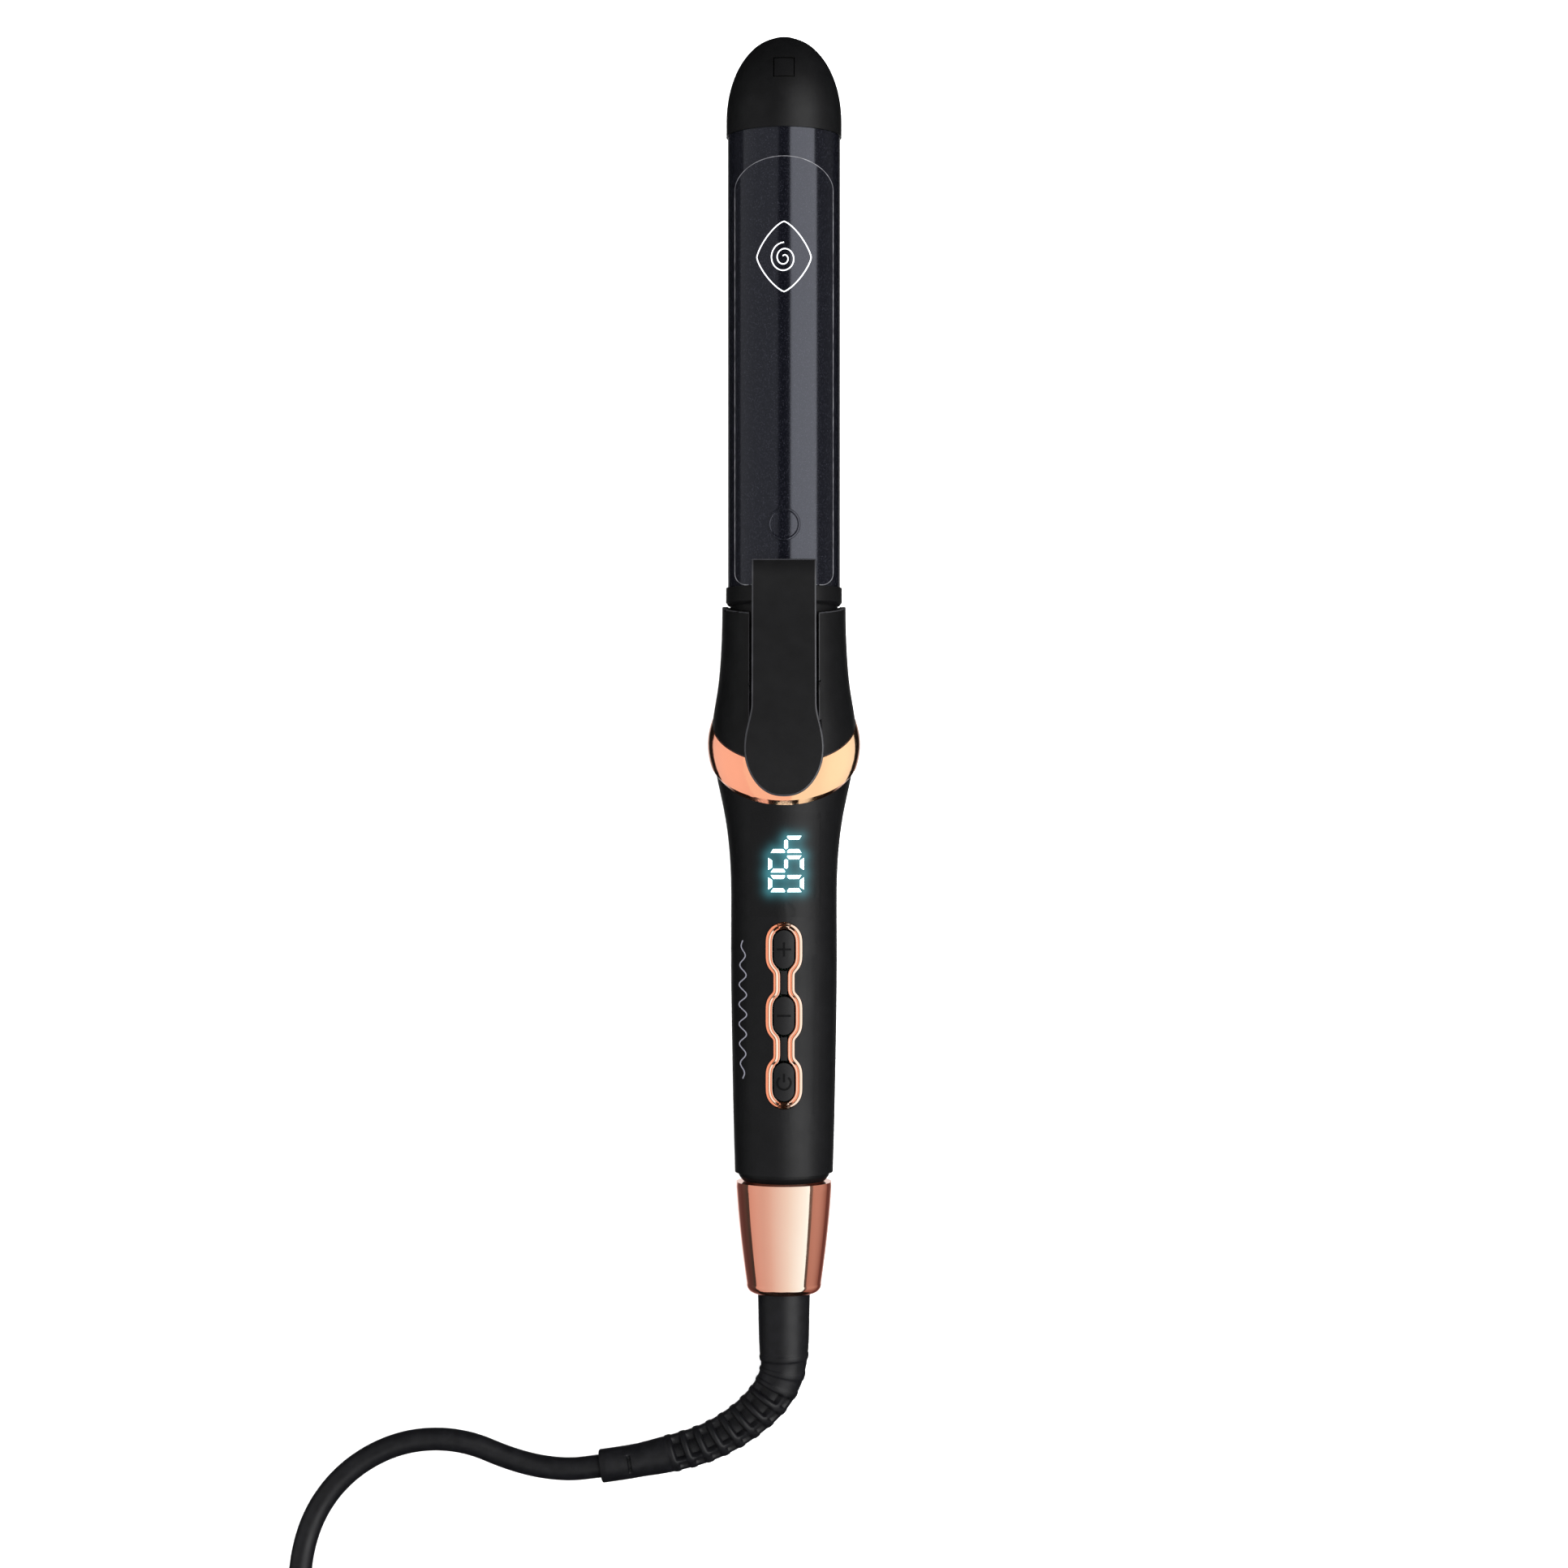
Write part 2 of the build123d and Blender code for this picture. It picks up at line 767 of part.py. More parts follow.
def make_plug_body():
    """Moulded two-blade plug with a tapered tail."""
    tail = Location((plug_tail_length / 2 + 0.5, 0, 0), (0, 90, 0)) * Cone(
        4.3, 6.6, plug_tail_length + 1.0
    )
    tail = split(tail, Plane.YZ, keep=Keep.TOP)
    block = span(
        plug_tail_length, plug_tail_length + plug_length,
        -plug_width / 2, plug_width / 2, -plug_height / 2, plug_height / 2,
    )
    block = fillet(block.edges().filter_by(Axis.X), 4.5)
    block = chamfer(block.faces().sort_by(Axis.X)[0].edges(), 2.0)
    return plug_frame() * (tail + block)


def make_plug_blades():
    face = plug_tail_length + plug_length
    blades = []
    for side, height in ((-1, 6.35), (1, 7.95)):
        y = side * blade_spacing / 2
        blade = span(face, face + 17.0, y - 0.75, y + 0.75, -height / 2, height / 2)
        tip_edges = blade.faces().sort_by(Axis.X)[-1].edges().filter_by(Axis.Y)
        blades.append(chamfer(tip_edges, 1.2).solid())
    return plug_frame() * Compound(children=blades)


iron_parts = {
    "tip_cap": make_tip_cap(),
    "tip_plug": make_tip_plug(),
    "barrel_tube": make_barrel_tube(),
    "heat_spreader_front": make_heat_spreader(1),
    "heat_spreader_rear": make_heat_spreader(-1),
    "heater_plate": make_heater_plate(),
    "heater_film": make_heater_film(),
    "temperature_sensor": make_temperature_sensor(),
    "thermal_fuse": make_thermal_fuse(),
    "heater_wires": make_heater_wires(),
    "barrel_base": make_barrel_base(),
    "hinge_bracket": make_hinge_bracket(),
    "hinge_pin": make_hinge_pin(),
    "clip_spring": make_clip_spring(),
    "clip_plate": make_clip_plate(),
    "lever_screws": make_lever_screws(),
    "thumb_lever": make_thumb_lever(),
    "upper_housing": make_upper_housing(),
    "accent_ring": make_accent_ring(),
    "handle_front": make_handle_front(),
    "handle_rear": make_handle_rear(),
    "shell_screws": make_shell_screws(),
    "button_bezel": make_button_bezel(),
    "key_web": make_key_web(),
    "button_plus": make_button(0),
    "button_minus": make_button(1),
    "button_power": make_button(2),
    "tact_switches": make_tact_switches(),
    "display_lens": make_display_lens(),
    "display_module": make_display_module(),
    "control_board": make_control_board(),
    "board_parts": make_board_parts(),
    "swivel_bush": make_swivel_bush(),
    "end_collar": make_end_collar(),
    "swivel_core": make_swivel_core(),
    "slip_rings": make_slip_rings(),
    "brush_contacts": make_brush_contacts(),
    "stand_pin": make_stand_pin(),
}
table_parts = {
    "stand": make_stand(),
    "strain_relief": make_strain_relief(),
    "cord_tube": make_cord_tube(),
    "cord_coil": make_coil(),
    "cord_tail": make_cord_tail(),
    "coil_tie": make_coil_tie(),
    "plug_body": make_plug_body(),
    "plug_blades": make_plug_blades(),
}

os.makedirs("parts", exist_ok=True)
for name, part in iron_parts.items():
    export_step(placement * part, f"parts/{name}.step")
for name, part in table_parts.items():
    export_step(part, f"parts/{name}.step")
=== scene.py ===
import math

import bmesh
import bpy
from mathutils import Matrix, Vector
from mathutils.bvhtree import BVHTree
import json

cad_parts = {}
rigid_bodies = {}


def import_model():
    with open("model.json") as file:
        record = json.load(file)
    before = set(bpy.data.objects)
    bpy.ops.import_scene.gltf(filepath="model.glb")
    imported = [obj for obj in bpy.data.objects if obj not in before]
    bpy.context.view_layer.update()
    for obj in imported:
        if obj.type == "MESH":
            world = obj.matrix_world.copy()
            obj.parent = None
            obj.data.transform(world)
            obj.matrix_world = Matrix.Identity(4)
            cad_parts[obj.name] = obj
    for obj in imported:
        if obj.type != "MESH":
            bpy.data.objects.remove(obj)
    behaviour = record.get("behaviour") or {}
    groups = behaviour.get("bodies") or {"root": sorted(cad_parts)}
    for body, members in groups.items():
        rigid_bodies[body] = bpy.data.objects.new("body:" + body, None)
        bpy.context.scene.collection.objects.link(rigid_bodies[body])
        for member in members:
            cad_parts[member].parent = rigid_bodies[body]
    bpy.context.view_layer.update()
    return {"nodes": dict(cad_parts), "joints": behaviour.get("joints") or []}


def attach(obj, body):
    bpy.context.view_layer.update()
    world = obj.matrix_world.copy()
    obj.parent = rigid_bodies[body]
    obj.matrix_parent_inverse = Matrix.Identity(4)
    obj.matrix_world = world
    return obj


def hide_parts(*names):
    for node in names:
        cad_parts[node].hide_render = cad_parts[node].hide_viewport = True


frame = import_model()
nodes = frame["nodes"]

# Sizes and places are in millimetres and angles in degrees, unless a comment says otherwise.
MM = 0.001

# The iron's own frame: X across, Y along the barrel to the tip, Z out of the clip side. Its origin is on
# the axis, this far above the cord's swivel. Rays that look for its surface start this far from the axis.
ORIGIN_ABOVE_SWIVEL = 130.0
RAY_START = 60.0

# Camera, with its distance in metres
CAMERA_DISTANCE = 0.8895
CAMERA_LENS = 71.74
SENSOR_WIDTH = 36.0

# Colours of the coats
COAT_BLACK = (0.0015, 0.0016, 0.0026)
COAT_FLAKE = (0.013, 0.0135, 0.018)
TOUCH_BLACK = (0.001, 0.001, 0.0013)
SATIN_BLACK = (0.0013, 0.0013, 0.0015)

# Clip: its outline, the ridge pressed into it, and a thin grey line painted along its edges as a highlight
CLIP_LOW = 55.7
CLIP_SIDE_TOP = 167.0
CLIP_APEX = 175.5
CLIP_HALF_WIDTH = 13.95
CLIP_CORNER = 3.5
RIDGE_Y = 72.6
RIDGE_RADIUS = 4.2
RIDGE_HALF_WIDTH = 0.42
RIDGE_HEIGHT = 0.22
HIGHLIGHT_INSET = 0.12
HIGHLIGHT_WIDTH = 0.2
HIGHLIGHT_PROUD = 0.015

# Handle's end and end collar, turned about the axis
TURNED_SIDES = 144
STEP_TOP = -109.6
STEP_RADIUS = 12.9
STEP_BORE = 11.2
COLLAR_TOP = -113.0
COLLAR_END = -144.6
COLLAR_BORE = 11.3
COLLAR_MOUTH = 7.9
COLLAR_END_ROUNDING = 2.9

# Button panel: three lobes joined by necks, and the bezel's band round them. The section gives, for each
# point, its place across the band towards the keys and its height over the handle.
BUTTON_PITCH = 18.6
BUTTON_FIRST = -46.3
LOBE_STRAIGHT = 2.5
LOBE_RADIUS = 5.2
NECK_HALF_WIDTH = 2.9
BAND_HALF_WIDTH = 1.0
BAND_POINT_SPACING = 0.22
BAND_SMOOTHINGS = 22
BAND_SECTION = [
    (-1.0, -0.9), (-1.0, 0.05), (-0.93, 0.24), (-0.78, 0.4), (-0.55, 0.49), (-0.3, 0.5), (-0.02, 0.44),
    (0.2, 0.28), (0.34, 0.1), (0.46, 0.08), (0.56, 0.2), (0.68, 0.25), (0.8, 0.22), (0.92, 0.08),
    (1.0, -0.1), (1.0, -1.6),
]
BESIDE_PANEL = 8.0
SYMBOL_LINE = 0.55
SYMBOL_PROUD = 0.1

# Display: seven-segment figures that read down the handle, with their tops towards +X
DIGIT_HEIGHT = 9.95
DIGIT_WIDTH = 4.75
DIGIT_PITCH = 5.5
DIGIT_BOTTOM_X = -4.4
DIGITS_TOP_Y = -14.5
SEGMENT = 1.05
SEGMENT_GAP = 0.34
SEGMENT_CUT = 0.35
SEGMENTS_LIT = ("bcfg", "acdfg", "abcdef")
GLOW_X = (-9.6, 10.6)
GLOW_Y = (-37.5, -7.5)
GLOW_STEP = 0.3
GLOW_REACH = 1.35
GLOW_FALL = 1.4
GLOW_GAIN = 0.42

# Ornaments: the lozenge and its curl on the clip, and the wavy line along the handle
EMBLEM_Y = 147.3
EMBLEM_HALF_SIZE = (7.6, 9.8)
EMBLEM_SOFTNESS = 1.35
EMBLEM_LINE = 0.34
CURL_TURNS = 2.1
CURL_RADIUS = 3.9
WAVE_X = -11.6
WAVE_Y = (-83.0, -44.0)
WAVE_SWING = 1.1
WAVE_PERIODS = 7
WAVE_LINE = 0.3
PRINT_PROUD = 0.02

# Cord, in the row's frame
CORD_RADIUS = 3.25
CORD_START = (-40.0, -223.8, 5.1)
CORD_ROUTE = [
    (-51.8, -225.4, 4.9),
    (-62.5, -226.7, 4.1),
    (-76.0, -224.5, 3.3),
    (-92.5, -217.6, 3.3),
    (-110.5, -218.6, 3.3),
    (-126.5, -228.0, 3.3),
    (-136.2, -243.5, 3.3),
    (-138.0, -265.0, 3.6),
    (-136.3, -290.0, 4.1),
]
COIL_CENTRE = (-88.5, -310.0)
COIL_OUTER_TURN = 47.25
COIL_INNER_TURN = 27.75
COIL_LAYERS = (4.25, 10.75)
TURNS_PER_LAYER = 3.0
INNER_TURNS_BETWEEN = 4.0 / 3.0
POINTS_PER_TURN = 16
TAIL_HEADING = 30.0
TAIL_LENGTH = 46.0

# Strain relief: along it, distances are measured from its start inside the collar. WEB_TURN is in radians.
RELIEF_AXIS_POINTS = (-138.0, -147.0, -155.0, -171.5)
RELIEF_BEND = [
    (-16.5, -217.6, 5.9),
    (-38.0, -223.6, 5.2),
    (-51.8, -225.4, 4.9),
]
RELIEF_SIDES = 120
RELIEF_RIBS = 11
RIB_START = 25.0
RIB_END_BEFORE_TAIL = 20.5
RIB_HEIGHT = 0.25
RIB_SLANT = 0.45
WINDOWS_FROM_RIB = 2
WINDOW_DEPTH = 1.8
WEB_TURN = -0.6
SLOT_BEFORE_TAIL = 8.2
SLOT_DEPTH = 0.9
TABLE_GAP = 0.05

# Plug
PLUG_AXIS_HEIGHT = 7.5
PLUG_TAIL = 20.0
PLUG_BODY = 29.0
PLUG_SIDES = 64
PLUG_TAIL_RIBS = 6
PLUG_RIB_START = 1.2
PLUG_RIB_PITCH = 2.9

# Strap round the coil's turns
TIE_CENTRE = (-51.0, -310.0, 7.5)
TIE_WIDTH = 12.0
TIE_THICKNESS = 1.0
TIE_HALF_ACROSS = 13.0
TIE_HALF_UP = 6.5
TIE_CORNER = 3.2
TIE_LAP = 1.04

# Studio, in metres
LIGHT_DISTANCE = 1.0
LIGHT_LENGTH = 2.4
MAIN_LIGHT_LENGTH = 1.5
RING_LIGHT_LENGTH = 6.0
FLOOR_SIZE = 6.0
FLOOR_BELOW = -0.0001

swivel = next(joint for joint in frame["joints"] if joint["name"] == "cord_swivel")
tilt = math.atan2(swivel["axis"][2], swivel["axis"][1])
iron = (
    Matrix.Translation(swivel["pos_m"])
    @ Matrix.Rotation(tilt, 4, "X")
    @ Matrix.Translation((0, ORIGIN_ABOVE_SWIVEL * MM, 0))
)


def place(x, y, z):
    """A point of the iron's own frame, given in millimetres, in the row frame."""
    return iron @ Vector((x * MM, y * MM, z * MM))


def make_camera():
    data = bpy.data.cameras.new("camera")
    data.lens = CAMERA_LENS
    data.sensor_width = SENSOR_WIDTH
    camera = bpy.data.objects.new("camera", data)
    bpy.context.scene.collection.objects.link(camera)
    camera.matrix_world = iron @ Matrix.Translation((0, 0, CAMERA_DISTANCE))
    bpy.context.scene.camera = camera


# Materials


def map_range(tree, value, from_low, from_high, to_low, to_high):
    """Carries a value from one range to another, and holds it at the ends."""
    node = tree.nodes.new("ShaderNodeMapRange")
    limits = {"From Min": from_low, "From Max": from_high, "To Min": to_low, "To Max": to_high}
    for key, number in limits.items():
        node.inputs[key].default_value = number
    tree.links.new(value, node.inputs["Value"])
    return node.outputs["Result"]


def blend_colors(tree, value, first, last):
    """A colour that goes from the first to the last as the value goes from 0 to 1."""
    mix = tree.nodes.new("ShaderNodeMix")
    mix.data_type = "RGBA"
    mix.inputs["A"].default_value = (*first, 1)
    mix.inputs["B"].default_value = (*last, 1)
    tree.links.new(value, mix.inputs["Factor"])
    return mix.outputs["Result"]


class Look:
    """A node material around one Principled shader. Patterns are in object space, in metres."""

    def __init__(self, name, color, roughness, metallic=0.0, **inputs):
        self.material = bpy.data.materials.new(name)
        self.material.use_nodes = True
        self.tree = self.material.node_tree
        self.shader = self.tree.nodes["Principled BSDF"]
        self.shader.inputs["Base Color"].default_value = (*color, 1)
        self.shader.inputs["Roughness"].default_value = roughness
        self.shader.inputs["Metallic"].default_value = metallic
        for key, value in inputs.items():
            socket = key.replace("_", " ").title().replace("Ior", "IOR")
            self.shader.inputs[socket].default_value = value
        self.space = self.node("ShaderNodeTexCoord").outputs["Object"]

    def node(self, kind, **settings):
        made = self.tree.nodes.new(kind)
        for key, value in settings.items():
            setattr(made, key, value)
        return made

    def join(self, source, target):
        self.tree.links.new(source, target)

    def noise(self, size_mm, detail=3.0, stretch=(1, 1, 1)):
        """Noise with features of the given size."""
        mapping = self.node("ShaderNodeMapping")
        mapping.inputs["Scale"].default_value = stretch
        self.join(self.space, mapping.inputs["Vector"])
        texture = self.node("ShaderNodeTexNoise")
        texture.inputs["Scale"].default_value = 1000.0 / size_mm
        texture.inputs["Detail"].default_value = detail
        self.join(mapping.outputs["Vector"], texture.inputs["Vector"])
        return texture.outputs["Fac"]

    def cells(self, size_mm):
        """One random grey value for each small cell."""
        texture = self.node("ShaderNodeTexVoronoi")
        texture.inputs["Scale"].default_value = 1000.0 / size_mm
        self.join(self.space, texture.inputs["Vector"])
        grey = self.node("ShaderNodeRGBToBW")
        self.join(texture.outputs["Color"], grey.inputs["Color"])
        return grey.outputs["Val"]

    def remap(self, value, from_low, from_high, to_low, to_high):
        return map_range(self.tree, value, from_low, from_high, to_low, to_high)

    def blend(self, socket, value, first, last):
        """Lets a colour go from the first to the last as the value goes from 0 to 1."""
        self.join(blend_colors(self.tree, value, first, last), self.shader.inputs[socket])

    def tint(self, value, color_a, color_b):
        self.blend("Base Color", value, color_a, color_b)

    def roughen(self, value, low, high):
        self.join(self.remap(value, 0.3, 0.7, low, high), self.shader.inputs["Roughness"])

    def bump(self, value, depth_mm, strength=1.0):
        node = self.node("ShaderNodeBump")
        node.inputs["Distance"].default_value = depth_mm * MM
        node.inputs["Strength"].default_value = strength
        self.join(value, node.inputs["Height"])
        self.join(node.outputs["Normal"], self.shader.inputs["Normal"])


def barrel_look():
    """Black ceramic coat with metal flake in it, under a clear glossy surface."""
    look = Look("barrel_coat", COAT_BLACK, 0.12, specular_ior_level=0.32)
    look.shader.inputs["Specular Tint"].default_value = (0.84, 0.87, 1.0, 1)
    flakes = look.remap(look.cells(0.16), 0.72, 0.95, 0.0, 1.0)
    look.tint(flakes, COAT_BLACK, COAT_FLAKE)
    look.roughen(look.noise(0.3), 0.1, 0.15)
    look.bump(look.cells(0.2), 0.004, 0.5)
    return look.material


def clip_highlight_look():
    """A painted highlight for the clip's edges: a patchy grey, far lighter than the coat, in place of the
    light that the edges catch.
    """
    look = Look("edge_highlight_grey", (0.07, 0.07, 0.075), 0.3, metallic=0.1)
    highlight_patches = look.remap(look.noise(2.5, 5.0), 0.35, 0.65, 0.0, 1.0)
    look.tint(highlight_patches, (0.035, 0.035, 0.04), (0.11, 0.11, 0.12))
    look.roughen(look.noise(0.4), 0.25, 0.4)
    return look.material


def moulded_look(name, color, rough_low, rough_high, grain_mm=0.12, depth_mm=0.006, **inputs):
    """Moulded plastic with a fine spark-eroded grain and faint handling marks."""
    look = Look(name, color, rough_low, **inputs)
    look.roughen(look.noise(9.0, 4.0), rough_low, rough_high)
    worn = tuple(channel * 1.6 for channel in color)
    look.tint(look.remap(look.noise(4.0, 5.0), 0.35, 0.75, 0.0, 1.0), color, worn)
    look.bump(look.noise(grain_mm, 2.0), depth_mm, 0.5)
    return look.material


def rose_gold_look(name, color_a, color_b, rough_low=0.05, rough_high=0.1):
    """Polished plating with faint polishing lines and softer patches."""
    look = Look(name, color_a, rough_low, metallic=1.0)
    look.tint(look.noise(14.0), color_a, color_b)
    look.roughen(look.noise(6.0, 5.0), rough_low, rough_high)
    look.bump(look.noise(0.25, 2.0, (6, 0.4, 6)), 0.002, 0.12)
    return look.material


def metal_look(name, color, rough_low, rough_high, stretch=(1, 12, 12)):
    look = Look(name, color, rough_low, metallic=1.0)
    grain = look.noise(0.3, 4.0, stretch)
    look.roughen(grain, rough_low, rough_high)
    dull = tuple(channel * 0.8 for channel in color)
    look.tint(look.noise(3.0, 5.0), dull, color)
    look.bump(grain, 0.004, 0.3)
    return look.material


def rubber_look(name, color, rough_low, rough_high, grain_mm=0.35):
    """Flexible vinyl: dull, with slight ripples from its extrusion and dust-fine grain."""
    look = Look(name, color, rough_low, specular_ior_level=0.2)
    look.roughen(look.noise(5.0, 5.0), rough_low, rough_high)
    lighter = tuple(channel * 1.9 for channel in color)
    look.tint(look.remap(look.noise(2.5, 6.0), 0.4, 0.8, 0.0, 1.0), color, lighter)
    look.bump(look.noise(grain_mm, 3.0), 0.02, 0.35)
    return look.material


def woven_look():
    """Hook-and-loop tape: fine crossing threads with a soft sheen."""
    look = Look("tie_tape", (0.006, 0.006, 0.007), 0.9, sheen_weight=0.06, sheen_roughness=0.5)
    waves = []
    for direction in ("X", "Y", "Z"):
        wave = look.node("ShaderNodeTexWave", bands_direction=direction)
        wave.inputs["Scale"].default_value = 340.0
        wave.inputs["Distortion"].default_value = 0.6
        look.join(look.space, wave.inputs["Vector"])
        waves.append(wave.outputs["Fac"])
    product = waves[0]
    for other in waves[1:]:
        multiply = look.node("ShaderNodeMath", operation="MULTIPLY")
        look.join(product, multiply.inputs[0])
        look.join(other, multiply.inputs[1])
        product = multiply.outputs["Value"]
    look.tint(product, (0.012, 0.012, 0.013), (0.05, 0.05, 0.055))
    look.bump(product, 0.15, 0.6)
    return look.material


def print_look(name, color, roughness):
    """Pad-printed ink, a little uneven."""
    look = Look(name, color, roughness)
    faded = tuple(channel * 0.75 for channel in color)
    look.tint(look.noise(0.5, 3.0), faded, color)
    look.bump(look.noise(0.1), 0.003, 0.3)
    return look.material


def lit_look():
    """Lit display segment, a little uneven."""
    look = Look("lit_segment", (0.6, 0.9, 0.95), 0.4)
    look.shader.inputs["Emission Strength"].default_value = 1.0
    look.blend("Emission Color", look.noise(1.2), (0.62, 0.98, 1.0), (0.9, 1.0, 1.0))
    return look.material


def glow_look(base_color):
    """The handle's coating, with the display's light showing through it around the figures."""
    look = Look("display_glow", base_color, 0.5, specular_ior_level=0.18)
    look.bump(look.noise(0.08, 2.0), 0.004, 0.5)
    level = look.node("ShaderNodeAttribute", attribute_name="glow").outputs["Fac"]
    look.blend("Emission Color", level, (0, 0, 0), (0.075, 0.36, 0.42))
    look.shader.inputs["Emission Strength"].default_value = 1.0
    return look.material


def floor_look():
    look = Look("floor", (0.86, 0.86, 0.86), 0.6, specular_ior_level=0.2)
    look.tint(look.noise(300.0), (0.85, 0.85, 0.855), (0.87, 0.87, 0.87))
    return look.material


looks = {
    "barrel": barrel_look(),
    "edge_highlight_grey": clip_highlight_look(),
    "satin": moulded_look("satin_black", SATIN_BLACK, 0.42, 0.52, specular_ior_level=0.15),
    # Lighter, glossier satin black for the rounded edges of the lever and upper housing: a painted
    # highlight along those edges.
    "satin_highlight": moulded_look("satin_highlight", (0.014, 0.014, 0.016), 0.35, 0.42, specular_ior_level=0.32),
    "touch": moulded_look("soft_touch", TOUCH_BLACK, 0.46, 0.54, 0.08, 0.004, specular_ior_level=0.18),
    "rose_gold": rose_gold_look("rose_gold", (0.95, 0.455, 0.31), (0.95, 0.49, 0.35)),
    "bright_rose": rose_gold_look("bright_rose_gold", (1.0, 0.43, 0.25), (1.0, 0.46, 0.28), 0.08, 0.13),
    # A darker copy of the rose gold for the swivel bush: painted shade for the neck, which lies in shadow
    # between handle and collar.
    "shaded_rose_gold": rose_gold_look("shaded_rose_gold", (0.1, 0.035, 0.024), (0.13, 0.05, 0.03), 0.25, 0.35),
    "key": moulded_look("key_black", (0.0015, 0.0015, 0.0018), 0.42, 0.5, specular_ior_level=0.2),
    "white": moulded_look("white_insulation", (0.72, 0.70, 0.64), 0.5, 0.65),
    "aluminium": metal_look("extruded_aluminium", (0.72, 0.73, 0.75), 0.28, 0.42),
    "steel": metal_look("plated_steel", (0.58, 0.58, 0.6), 0.2, 0.34),
    "black_steel": moulded_look("black_powder_coat", (0.006, 0.006, 0.0065), 0.38, 0.5, 0.3, 0.02),
    "brass": metal_look("brass", (0.8, 0.6, 0.28), 0.2, 0.34),
    "board": moulded_look("circuit_green", (0.02, 0.12, 0.05), 0.3, 0.42),
    "component": moulded_look("component_black", (0.02, 0.02, 0.02), 0.4, 0.55),
    "wire": rubber_look("wire_jacket", (0.6, 0.56, 0.5), 0.45, 0.6),
    "cord": rubber_look("cord_vinyl", (0.0016, 0.0016, 0.0022), 0.4, 0.52),
    "relief": rubber_look("relief_vinyl", (0.0014, 0.0014, 0.002), 0.42, 0.55, 0.25),
    "tape": woven_look(),
    "symbol": moulded_look("symbol_black", (0.0008, 0.0008, 0.001), 0.5, 0.6, specular_ior_level=0.07),
    "white_print": print_look("white_print", (0.62, 0.63, 0.66), 0.4),
    "grey_print": print_look("grey_print", (0.13, 0.13, 0.16), 0.5),
    "lit": lit_look(),
    "glow": glow_look(TOUCH_BLACK),
    "floor": floor_look(),
}
node_looks = {
    "barrel": ["barrel_tube", "clip_plate"],
    "satin": ["tip_cap", "tip_plug", "barrel_base", "upper_housing", "thumb_lever"],
    "touch": ["handle_front", "handle_rear", "display_lens"],
    "rose_gold": ["end_collar"],
    "bright_rose": ["accent_ring", "button_bezel"],
    "shaded_rose_gold": ["swivel_bush"],
    "key": ["button_plus", "button_minus", "button_power", "key_web"],
    "white": ["heater_plate", "heater_film", "thermal_fuse"],
    "aluminium": ["heat_spreader_front", "heat_spreader_rear"],
    "steel": ["hinge_bracket", "hinge_pin", "clip_spring", "lever_screws", "shell_screws", "stand_pin",
              "temperature_sensor"],
    "black_steel": ["stand"],
    "brass": ["slip_rings", "brush_contacts", "plug_blades"],
    "board": ["control_board"],
    "component": ["board_parts", "display_module", "tact_switches", "swivel_core"],
    "wire": ["heater_wires"],
    "cord": ["cord_tube", "cord_coil", "cord_tail", "plug_body"],
    "relief": ["strain_relief"],
    "tape": ["coil_tie"],
}
for look_name, members in node_looks.items():
    for member in members:
        nodes[member].data.materials.clear()
        nodes[member].data.materials.append(looks[look_name])


# Meshes


def link_mesh(name, mesh, look, body):
    piece = bpy.data.objects.new(name, mesh)
    bpy.context.scene.collection.objects.link(piece)
    mesh.materials.clear()
    mesh.materials.append(look)
    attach(piece, body)
    return piece


def smooth_mesh(name, vertices, faces, sharp_degrees=40.0):
    """A mesh whose faces all point outwards and are smooth, apart from edges sharper than the angle."""
    mesh = bpy.data.meshes.new(name)
    mesh.from_pydata([tuple(vertex) for vertex in vertices], [], faces)
    work = bmesh.new()
    work.from_mesh(mesh)
    bmesh.ops.remove_doubles(work, verts=work.verts, dist=1e-7)
    bmesh.ops.recalc_face_normals(work, faces=work.faces)
    work.to_mesh(mesh)
    work.free()
    mesh.shade_smooth()
    mesh.set_sharp_from_angle(angle=math.radians(sharp_degrees))
    return mesh


def rings_to_faces(ring_count, per_ring, close_rings=False, caps=True):
    """Quads between rings of points that follow each other, with a face over each end."""
    faces = []
    last = ring_count if close_rings else ring_count - 1
    for ring in range(last):
        a, b = ring * per_ring, ((ring + 1) % ring_count) * per_ring
        for i in range(per_ring):
            j = (i + 1) % per_ring
            faces.append((a + i, a + j, b + j, b + i))
    if caps and not close_rings:
        faces.append(tuple(reversed(range(per_ring))))
        faces.append(tuple(range((ring_count - 1) * per_ring, ring_count * per_ring)))
    return faces


def smooth_piece(name, vertices, faces, sharp_degrees, look, body):
    """A smooth mesh that rides on a body."""
    mesh = smooth_mesh(name, vertices, faces, sharp_degrees)
    return link_mesh(name, mesh, looks[look], body)


def angles_round(count):
    return [2 * math.pi * step / count for step in range(count)]


def superellipse(angle, power):
    """A point on a unit curve: a circle at power 2, nearer to a diamond below and to a square above."""
    c, s = math.cos(angle), math.sin(angle)
    reach = (abs(c) ** power + abs(s) ** power) ** (-1 / power)
    return reach * c, reach * s


def turned_piece(name, profile, look):
    """A round piece of the handle, turned from a closed profile of (radius, y) points."""
    vertices = []
    for angle in angles_round(TURNED_SIDES):
        vertices += [place(radius * math.cos(angle), y, radius * math.sin(angle)) for radius, y in profile]
    faces = rings_to_faces(TURNED_SIDES, len(profile), close_rings=True)
    return smooth_piece(name, vertices, faces, 35.0, look, "handle")


